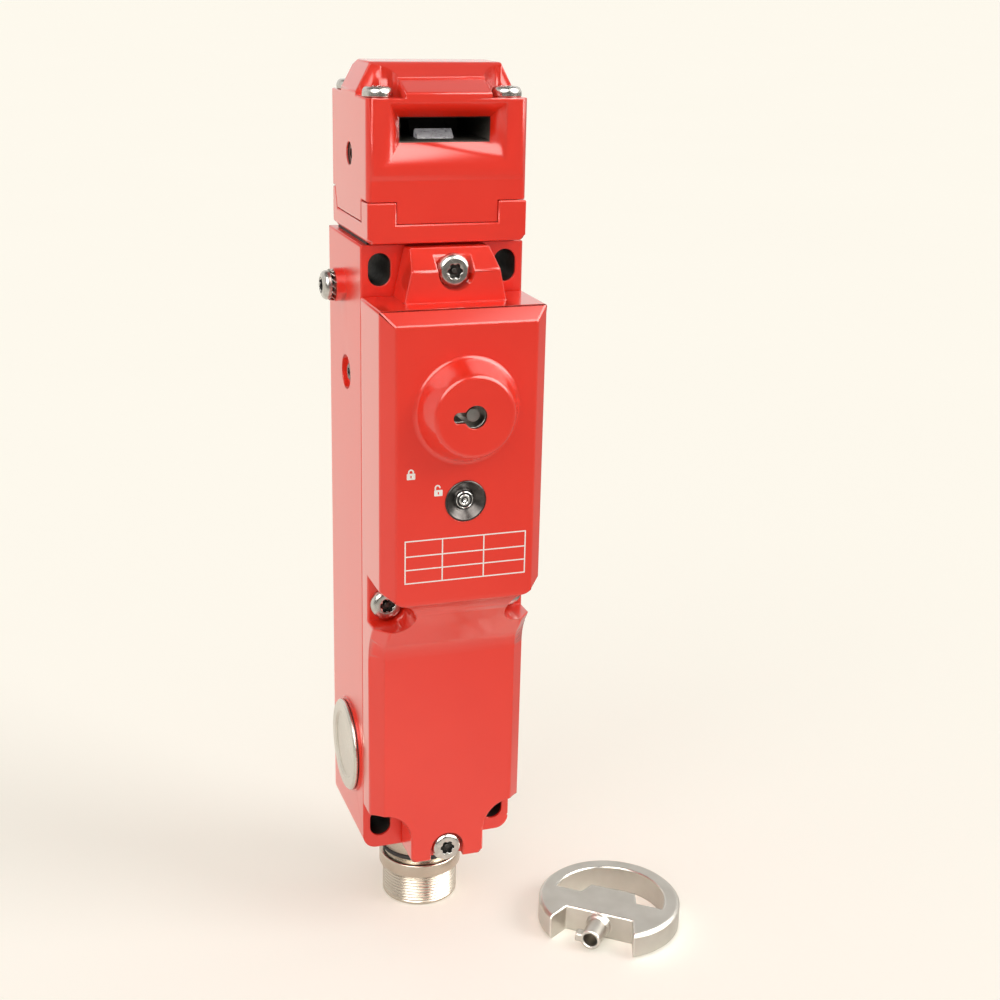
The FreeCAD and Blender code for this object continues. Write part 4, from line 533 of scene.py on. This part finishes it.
def lathe(mesh, rings, origin, axis, steps, shape=None, recess=()):
    """Adds a closed turned solid: (radius, height) rings about an axis through origin.

    A radius of 0 closes the form there; without one the last ring joins the first.
    shape(angle, radius, height) may move each point, as for lobes, teeth or a thread.
    Faces that start from the rings numbered in recess are marked for the piece's second finish,
    which paints shade there.
    """
    turn = Vector((0, 0, 1)).rotation_difference(Vector(axis))
    rows = []
    for radius, height in rings:
        row = []
        for index in range(1 if radius == 0.0 else steps):
            angle = 2 * math.pi * index / steps
            far, rise = shape(angle, radius, height) if shape else (radius, height)
            spot = Vector((far * math.cos(angle), far * math.sin(angle), rise))
            row.append(mesh.verts.new(Vector(origin) + turn @ spot))
        rows.append(row)
    pairs = list(zip(rows, rows[1:]))
    if len(rows[0]) > 1 and len(rows[-1]) > 1:
        pairs.append((rows[-1], rows[0]))
    for number, (first, second) in enumerate(pairs):
        for index in range(steps):
            after = (index + 1) % steps
            corners = [first[index % len(first)], first[after % len(first)],
                       second[after % len(second)], second[index % len(second)]]
            unique = []
            for corner in corners:
                if corner not in unique:
                    unique.append(corner)
            if len(unique) > 2:
                mesh.faces.new(unique).material_index = int(number in recess)


def solids(node):
    """The lowest and highest corner of each separate solid in a CAD node."""
    mesh = bmesh.new()
    mesh.from_mesh(frame["nodes"][node].data)
    bmesh.ops.remove_doubles(mesh, verts=mesh.verts, dist=0.005 * MM)
    left = set(mesh.verts)
    found = []
    while left:
        reach = [left.pop()]
        spots = []
        while reach:
            corner = reach.pop()
            spots.append(corner.co.copy())
            for side in corner.link_edges:
                other = side.other_vert(corner)
                if other in left:
                    left.remove(other)
                    reach.append(other)
        found.append((Vector(map(min, zip(*spots))), Vector(map(max, zip(*spots)))))
    mesh.free()
    return sorted(found, key=lambda box: tuple(round(value, 5) for value in box[0]))


def six_lobes(inner):
    """Turns every ring inside that radius into a rounded six-pointed star."""
    def shape(angle, radius, height):
        if inner * 0.5 < radius <= inner * 1.001:
            return radius * (1.0 + 0.16 * math.cos(6 * angle)), height
        return radius, height
    return shape


def pan_screw(mesh, crown, axis, head, tall=2.6, shank=2.0, reach=14.0, domed=False):
    """One pan-head screw with a six-lobe socket and its centre pin, sizes in millimetres.

    crown is the top of its head, in metres, and axis the way that the head faces.
    """
    socket = head * 0.44
    rings = [(0.0, -tall - reach), (shank * 0.8, -tall - reach), (shank, -tall - reach + 0.6),
             (shank, -tall), (head * 0.94, -tall), (head, -tall + 0.22)]
    for step in range(10):
        turn = math.radians(step * 9.2)
        side = head * (math.cos(turn * 0.72) if domed else 0.68 + 0.32 * math.cos(turn))
        rings.append((side, -tall * 0.62 + tall * 0.62 * math.sin(turn)))
    rings += [(socket * 1.22, 0.0), (socket * 1.06, -0.05), (socket, -0.16), (socket * 0.94, -1.5),
              (socket * 0.44, -1.6), (socket * 0.40, -0.75), (socket * 0.32, -0.62), (0.0, -0.58)]
    # The socket's rings take the dark second finish as painted shade.
    socket_rings = range(len(rings) - 6, len(rings))
    lathe(mesh, in_metres(rings), crown, axis, 72, six_lobes(socket * MM), socket_rings)


def round_off(mesh, ease, steps, chosen):
    """Rounds the convex edges whose middle, in millimetres, and direction are chosen."""
    bluntest, shortest = math.radians(28.0), 2.5
    edges = []
    for edge in mesh.edges:
        if not edge.is_manifold or not edge.is_convex or edge.calc_face_angle() < bluntest:
            continue
        run = (edge.verts[1].co - edge.verts[0].co) / MM
        middle = (edge.verts[0].co + edge.verts[1].co) / (2 * MM)
        if run.length > shortest and chosen(middle, run.normalized()):
            edges.append(edge)
    bmesh.ops.bevel(mesh, geom=edges, offset=ease * MM, offset_type="OFFSET", segments=steps,
                    profile=0.5, affect="EDGES", clamp_overlap=False, miter_outer="ARC")


def every_edge(spot, run):
    return True


def casting(node, name, finish, ease, chosen=every_edge, corners=None):
    """A CAD casting with its long outer edges rounded as they leave the die and the paint.

    corners picks the edges that get a wider rounding first.
    """
    level, wide = math.radians(0.6), 1.5
    mesh = bmesh.new()
    mesh.from_mesh(frame["nodes"][node].data)
    bmesh.ops.remove_doubles(mesh, verts=mesh.verts, dist=0.002 * MM)
    if corners:
        round_off(mesh, wide, 5, corners)
    round_off(mesh, ease, 3, chosen)
    bmesh.ops.dissolve_limit(mesh, angle_limit=level, verts=mesh.verts, edges=mesh.edges)
    thing = piece(name, mesh, finish, "root", [node])
    evened = thing.modifiers.new("evened_normals", "WEIGHTED_NORMAL")
    evened.keep_sharp = True
    evened.weight = 90


# ---------------------------------------------------------------- pieces

def cover_screws(finish, recess):
    mesh = bmesh.new()
    for low, high in solids("cover_screws"):
        pan_screw(mesh, ((low.x + high.x) / 2, low.y, (low.z + high.z) / 2), (0, -1, 0), 4.45)
    piece("cover_screw_set", mesh, finish, "root", ["cover_screws"], recess=recess)


def head_screws(finish, recess):
    mesh = bmesh.new()
    for low, high in solids("head_screws"):
        head = (high.x - low.x) / 2 / MM
        crown = ((low.x + high.x) / 2, (low.y + high.y) / 2, high.z)
        pan_screw(mesh, crown, (0, 0, 1), head, 2.6, 2.0, 28.0)
    piece("head_screw_set", mesh, finish, "root", ["head_screws"], recess=recess)


def earth_screw(finish, recess):
    low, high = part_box("earth_screw")
    crown = (low.x, (low.y + high.y) / 2, (low.z + high.z) / 2)
    mesh = bmesh.new()
    pan_screw(mesh, crown, (-1, 0, 0), 4.0, 2.5, 2.0, 8.0, domed=True)
    piece("earth_screw_dome", mesh, finish, "root", ["earth_screw"], recess=recess)


def toothed_washer(finish, recess):
    """Lock washer with twisted outer teeth, painted dark in the gaps between them as shade."""
    low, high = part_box("earth_washer")
    outer = (high.z - low.z) / 2
    count, tooth = 15, 0.56              # teeth, and the share of the pitch that each takes
    root, twist = 0.74, 1.15 * MM        # the share of the radius inside the teeth, and their twist
    steps = count * 16

    def teeth(angle, radius, height):
        part = max(0.0, (radius - outer * root) / (outer * (1.0 - root)))
        phase = (count * angle / (2 * math.pi)) % 1.0
        if phase < tooth:
            return radius, height + (phase / tooth - 0.5) * twist * part
        gap = (phase - tooth) / (1.0 - tooth)
        notch = 0.2 * part * math.sin(math.pi * gap) ** 0.5
        return radius * (1.0 - notch), height + (0.5 - gap) * twist * part

    half = 0.16 * MM
    section = [outer * share for share in (0.5, root, (1.0 + root) / 2, 1.0)]
    rings = [(radius, -half) for radius in section] + [(radius, half) for radius in section[::-1]]
    centre = (high.x - 0.62 * MM, (low.y + high.y) / 2, (low.z + high.z) / 2)
    mesh = bmesh.new()
    lathe(mesh, rings, centre, (-1, 0, 0), steps, teeth)
    # The gaps between the teeth take the dark finish as painted shade.
    for index, face in enumerate(mesh.faces):
        phase = (count * ((index % steps) + 0.5) / steps) % 1.0
        face.material_index = int(phase > tooth)
    piece("toothed_lock_washer", mesh, finish, "root", ["earth_washer"], 50.0,
          recess)


def side_screw(finish, recess):
    low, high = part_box("side_screw")
    radius = (high.z - low.z) / 2 / MM
    mesh = bmesh.new()
    pan_screw(mesh, (low.x, (low.y + high.y) / 2, (low.z + high.z) / 2), (-1, 0, 0),
              radius, 1.5, 1.2, 1.5)
    piece("recessed_side_screw", mesh, finish, "root", ["side_screw"], recess=recess)


def threaded_receptacle(finish):
    """Connector shell: helical thread below, plain collar, groove for its ring, neck."""
    thread_low, thread_high = 0.9, 9.7
    pitch, depth = 1.0, 0.42
    outer = (SHELL_HIGH.x - SHELL_LOW.x) / 2 / MM
    thread = outer - 1.1
    bore = thread - 1.8

    def helix(angle, radius, height):
        if abs(radius - thread * MM) > 1e-7 or not thread_low * MM <= height <= thread_high * MM:
            return radius, height
        ends = min(height / MM - thread_low, thread_high - height / MM)
        turn = (height / MM / pitch - angle / (2 * math.pi)) % 1.0
        groove = max(0.0, 1.0 - abs(turn - 0.5) / 0.38)
        return radius - depth * MM * min(1.0, groove * 1.15) * min(1.0, ends / 0.5), height

    rings = [(bore, 9.2), (bore, 0.35), (bore + 0.3, 0.0), (thread - 0.5, 0.0),
             (thread - 0.12, 0.3), (thread, 0.5)]
    steps = 88
    rings += [(thread, thread_low + (thread_high - thread_low) * index / steps)
              for index in range(steps + 1)]
    rings += [(thread - 0.35, 9.85), (thread - 0.35, 10.2), (outer - 0.35, 10.2),
              (outer - 0.1, 10.3), (outer, 10.55), (outer, 13.9), (outer - 0.1, 14.2),
              (outer - 0.35, 14.3),
              (thread - 0.6, 14.35), (thread - 0.6, 17.3), (outer - 0.9, 17.3), (outer - 0.7, 17.5),
              (outer - 0.7, 26.9), (9.2, 27.0), (9.2, 36.0), (bore - 0.9, 36.0), (bore - 0.9, 25.2),
              (bore, 25.2)]
    mesh = bmesh.new()
    lathe(mesh, in_metres(rings), (0, 0, 0), (0, 0, 1), 128, helix)
    piece("threaded_receptacle_shell", mesh, finish, "root", ["connector_shell"],
          50.0)


def sealing_ring(finish):
    """Round rubber ring in the receptacle's groove."""
    low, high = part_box("connector_ring")
    outer = (high.x - low.x) / 2
    wire = (high.z - low.z) / 2
    middle = (low.z + high.z) / 2
    mesh = bmesh.new()
    turns = [2 * math.pi * index / 16 for index in range(16)]
    rings = [(outer - wire + wire * math.cos(t), middle + wire * math.sin(t)) for t in turns]
    lathe(mesh, rings, (0, 0, 0), (0, 0, 1), 96)
    piece("receptacle_o_ring", mesh, finish, "root", ["connector_ring"])


def lamp_dish(finish):
    """Bezel with a polished cone that falls to the lens."""
    outer = (BEZEL_HIGH.x - BEZEL_LOW.x) / 2 / MM
    rings = [(2.66, -4.4), (2.66, -1.55), (2.8, -1.42), (3.05, -1.36), (3.2, -1.22), (4.9, -0.02),
             (5.05, 0.16), (5.2, 0.26), (5.4, 0.28), (5.56, 0.2), (outer - 0.02, 0.0),
             (outer, -0.2), (outer, -4.4)]
    mesh = bmesh.new()
    lathe(mesh, in_metres(rings), LAMP, (0, -1, 0), 96)
    piece("lamp_bezel_dish", mesh, finish, "root", ["led_bezel"], 40.0)


def ringed_lens(finish, groove):
    """Lens moulded in bright rings with grooves between them, round a small dimple; the grooves are
    painted black as shade.
    """
    rings = [(0.0, -0.80), (0.16, -0.84), (0.3, -0.72), (0.52, -0.62), (0.62, -0.9), (0.86, -0.94),
             (0.94, -0.78), (1.12, -0.66), (1.4, -0.66), (1.56, -0.8), (1.64, -1.06), (1.96, -1.1),
             (2.04, -0.9), (2.18, -0.76), (2.36, -0.82), (2.46, -1.1), (2.62, -1.3), (2.64, -5.3),
             (0.0, -5.3)]
    shaded_grooves = (0, 3, 4, 9, 10, 11, 15)
    mesh = bmesh.new()
    lathe(mesh, in_metres(rings), LAMP, (0, -1, 0), 72, None, shaded_grooves)
    piece("ringed_lamp_lens", mesh, finish, "root", ["led_lens"], 60.0, groove)


def printed(name, outlines, corner, finish):
    """Flat print on the cover's front face: closed outlines in millimetres from a corner point.

    An outline inside another one is left open.
    """
    gap = 0.005 * MM
    curve = bpy.data.curves.new(name, "CURVE")
    curve.dimensions = "2D"
    curve.fill_mode = "BOTH"
    curve.extrude = 0.02 * MM
    for outline in outlines:
        spline = curve.splines.new("POLY")
        spline.points.add(len(outline) - 1)
        spline.use_cyclic_u = True
        for point, (across, rise) in zip(spline.points, outline):
            point.co = (across * MM, rise * MM, 0.0, 1.0)
    drawn = bpy.data.objects.new(name + "_outline", curve)
    bpy.context.scene.collection.objects.link(drawn)
    bpy.context.view_layer.update()
    filled = drawn.evaluated_get(bpy.context.evaluated_depsgraph_get())
    flat = bpy.data.meshes.new_from_object(filled)
    bpy.data.objects.remove(drawn)
    mesh = bmesh.new()
    mesh.from_mesh(flat)
    for vertex in mesh.verts:
        across, rise, proud = vertex.co
        vertex.co = (corner[0] * MM + across, FACE_Y - proud - gap, corner[1] * MM + rise)
    bmesh.ops.remove_doubles(mesh, verts=mesh.verts, dist=0.001 * MM)
    piece(name, mesh, finish, "root", (), 30.0)


def arc(centre, radius, start, end, steps=16):
    """Points on an arc, angles in degrees, anticlockwise from the right."""
    points = []
    for index in range(steps + 1):
        turn = math.radians(start + (end - start) * index / steps)
        points.append((centre[0] + radius * math.cos(turn), centre[1] + radius * math.sin(turn)))
    return points


def padlock(name, corner, shackle_open, finish):
    """Small padlock sign, closed or with its shackle swung open."""
    wide, tall, cut = 2.3, 1.7, 0.15
    body = [(cut, 0.0), (wide - cut, 0.0), (wide, cut), (wide, tall - cut), (wide - cut, tall),
            (cut, tall), (0.0, tall - cut), (0.0, cut)]
    left, right = wide / 2 - 0.17, wide / 2 + 0.17
    hole = [(left, 0.45), (right, 0.45), (right, 1.15), (left, 1.15)]
    inner, outer, foot = 0.42, 0.82, tall - 0.05
    if shackle_open:
        middle, end = (wide / 2 - 0.22, tall + 0.62), -12.0
        leg = []
    else:
        middle, end = (wide / 2, tall + 0.34), 0.0
        leg = [(middle[0] + inner, foot), (middle[0] + outer, foot)]
    shackle = [(middle[0] - inner, foot)] + arc(middle, inner, 180.0, end) + leg
    shackle += arc(middle, outer, end, 180.0) + [(middle[0] - outer, foot)]
    printed(name, [body, hole], corner, finish)
    printed(name + "_shackle", [shackle], corner, finish)


def state_table(finish):
    """Blank table of three columns and three rows under the lamp."""
    left, right = -16.6, 17.1
    low, high = LAMP.z / MM - 21.9, LAMP.z / MM - 10.0
    columns = (left, -6.3, 5.3, right)
    rows = (low, low + 3.8, low + 7.6, high)
    line = 0.17                          # half the width of a printed line
    outer = [(left - line, low - line), (right + line, low - line), (right + line, high + line),
             (left - line, high + line)]
    cells = []
    for x_low, x_high in zip(columns, columns[1:]):
        for z_low, z_high in zip(rows, rows[1:]):
            cells.append([(x_low + line, z_low + line), (x_high - line, z_low + line),
                          (x_high - line, z_high - line), (x_low + line, z_high - line)])
    printed("state_table_grid", [outer] + cells, (0.0, 0.0), finish)


# ---------------------------------------------------------------- the switch

def base_foot(spot, run):
    """The lower corners of the head's base plate, seen from the front."""
    return abs(run.y) > 0.95 and abs(spot.x) > 21.0 and spot.z < HEAD_FOOT + 1.0


def cover_tongue(spot, run):
    """The lower corners of the cover's tongue, seen from the front."""
    return abs(run.y) > 0.95 and abs(spot.x) < 12.0 and spot.z < COVER_FOOT + 1.0


def housing_flanks(spot, run):
    return abs(spot.x) > 21.5


def head_outside(spot, run):
    """The head's edges apart from those of its funnel, which stay crisp."""
    return abs(spot.x) > 17.5 or spot.z > HEAD_SEAT


def dress(finish, *nodes):
    """Gives CAD nodes their finish."""
    for node in nodes:
        materials = frame["nodes"][node].data.materials
        materials.clear()
        materials.append(finish)


def studio_floor():
    """A wide round sheet, a hair under the switch's foot."""
    mesh = bmesh.new()
    bmesh.ops.create_circle(mesh, cap_ends=True, segments=96, radius=60.0)
    data = bpy.data.meshes.new("studio_floor")
    mesh.to_mesh(data)
    mesh.free()
    data.materials.append(pale_floor())
    floor = bpy.data.objects.new("studio_floor", data)
    floor.location.z = -0.02 * MM
    bpy.context.scene.collection.objects.link(floor)


product_camera()
bpy.context.scene.view_settings.view_transform = "Standard"
studio_world()
broad_lamp("front_right_light", RIGHT_LIGHT, 0.95, 30.0)
broad_lamp("front_left_light", LEFT_LIGHT, 0.5, 44.0)
broad_lamp("left_fill_light", FILL_LIGHT, 0.36, 60.0)
studio_floor()

paint = gloss_paint("gloss_red_paint", 0.16)
steel = zinc_steel()
ground = ground_steel()
dark_steel = plain("blackened_screw_steel", (0.10, 0.095, 0.09), (0.22, 0.21, 0.20), 500.0,
                   0.000006, 0.22, 0.4, Metallic=1.0)
# The screw sockets and the washer's tooth gaps are painted dark with this finish, as painted shade.
socket_shade = plain("screw_socket_shade", (0.035, 0.033, 0.03), (0.10, 0.095, 0.09), 700.0, 0.00001,
                    0.35, 0.6, Metallic=0.8)
rubber = plain("black_seal_rubber", (0.010, 0.010, 0.010), (0.028, 0.027, 0.026), 300.0, 0.00001,
               0.45, 0.75)
black = plain("black_moulded_plastic", (0.016, 0.016, 0.017), (0.032, 0.032, 0.034), 240.0, 0.00002,
              0.32, 0.55)
cream = plain("cream_moulded_plastic", (0.60, 0.55, 0.44), (0.70, 0.66, 0.55), 160.0, 0.00002,
              0.35, 0.6)
brass = plain("contact_brass", (0.62, 0.44, 0.17), (0.80, 0.60, 0.28), 400.0, 0.000006,
              0.2, 0.36, Metallic=1.0)
board = plain("green_board_laminate", (0.02, 0.14, 0.05), (0.03, 0.20, 0.08), 500.0, 0.00001,
              0.3, 0.5)
ink = white_ink()

housing_paint = gloss_paint("gloss_red_paint_housing", 0.34, slot_bores)
head_paint = gloss_paint("gloss_red_paint_head", 0.14, tongue_passage)
cover_paint = gloss_paint("gloss_red_paint_cover", 0.08, keyhole_inside)
casting("head_base", "head_base_casting", paint, 0.45, corners=base_foot)
casting("housing", "housing_casting", housing_paint, 0.5, housing_flanks)
casting("head_housing", "head_casting", head_paint, 0.45, head_outside)
casting("cover", "cover_casting", cover_paint, 0.5, corners=cover_tongue)
dress(rubber, "cover_gasket", "head_seal", "plug_seal_left", "plug_seal_right", "rotor_seal")
dress(faced_nickel(), "conduit_plug_left", "conduit_plug_right")
dress(satin_nickel(), "release_key")
dress(dark_steel, "cam_axle")
dress(cast_cam(), "head_cam")
dress(ground, "plunger", "release_rotor", "lever_pin", "lock_lever", "release_link", "armature",
      "solenoid_frame", "spring_plate", "plunger_spring", "armature_spring", "rotor_retainer")
dress(cream, "contact_block", "contact_carrier")
dress(black, "solenoid_bobbin", "connector_insert", "plunger_bush")
dress(brass, "fixed_contacts", "contact_bridges", "connector_pins", "terminal_screws")
dress(wound_copper(), "solenoid_coil")
dress(board, "indicator_board")

cover_screws(steel, socket_shade)
head_screws(steel, socket_shade)
earth_screw(steel, socket_shade)
toothed_washer(steel, socket_shade)
side_screw(dark_steel, socket_shade)
threaded_receptacle(turned_nickel())
sealing_ring(rubber)
lamp_dish(smoked_chrome())
# The lens's grooves take black rubber as painted shade.
ringed_lens(lamp_lens(), rubber)
padlock("closed_padlock_sign", (-16.25, LAMP.z / MM + 7.1), False, ink)
padlock("open_padlock_sign", (-8.75, LAMP.z / MM + 2.0), True, ink)
state_table(ink)
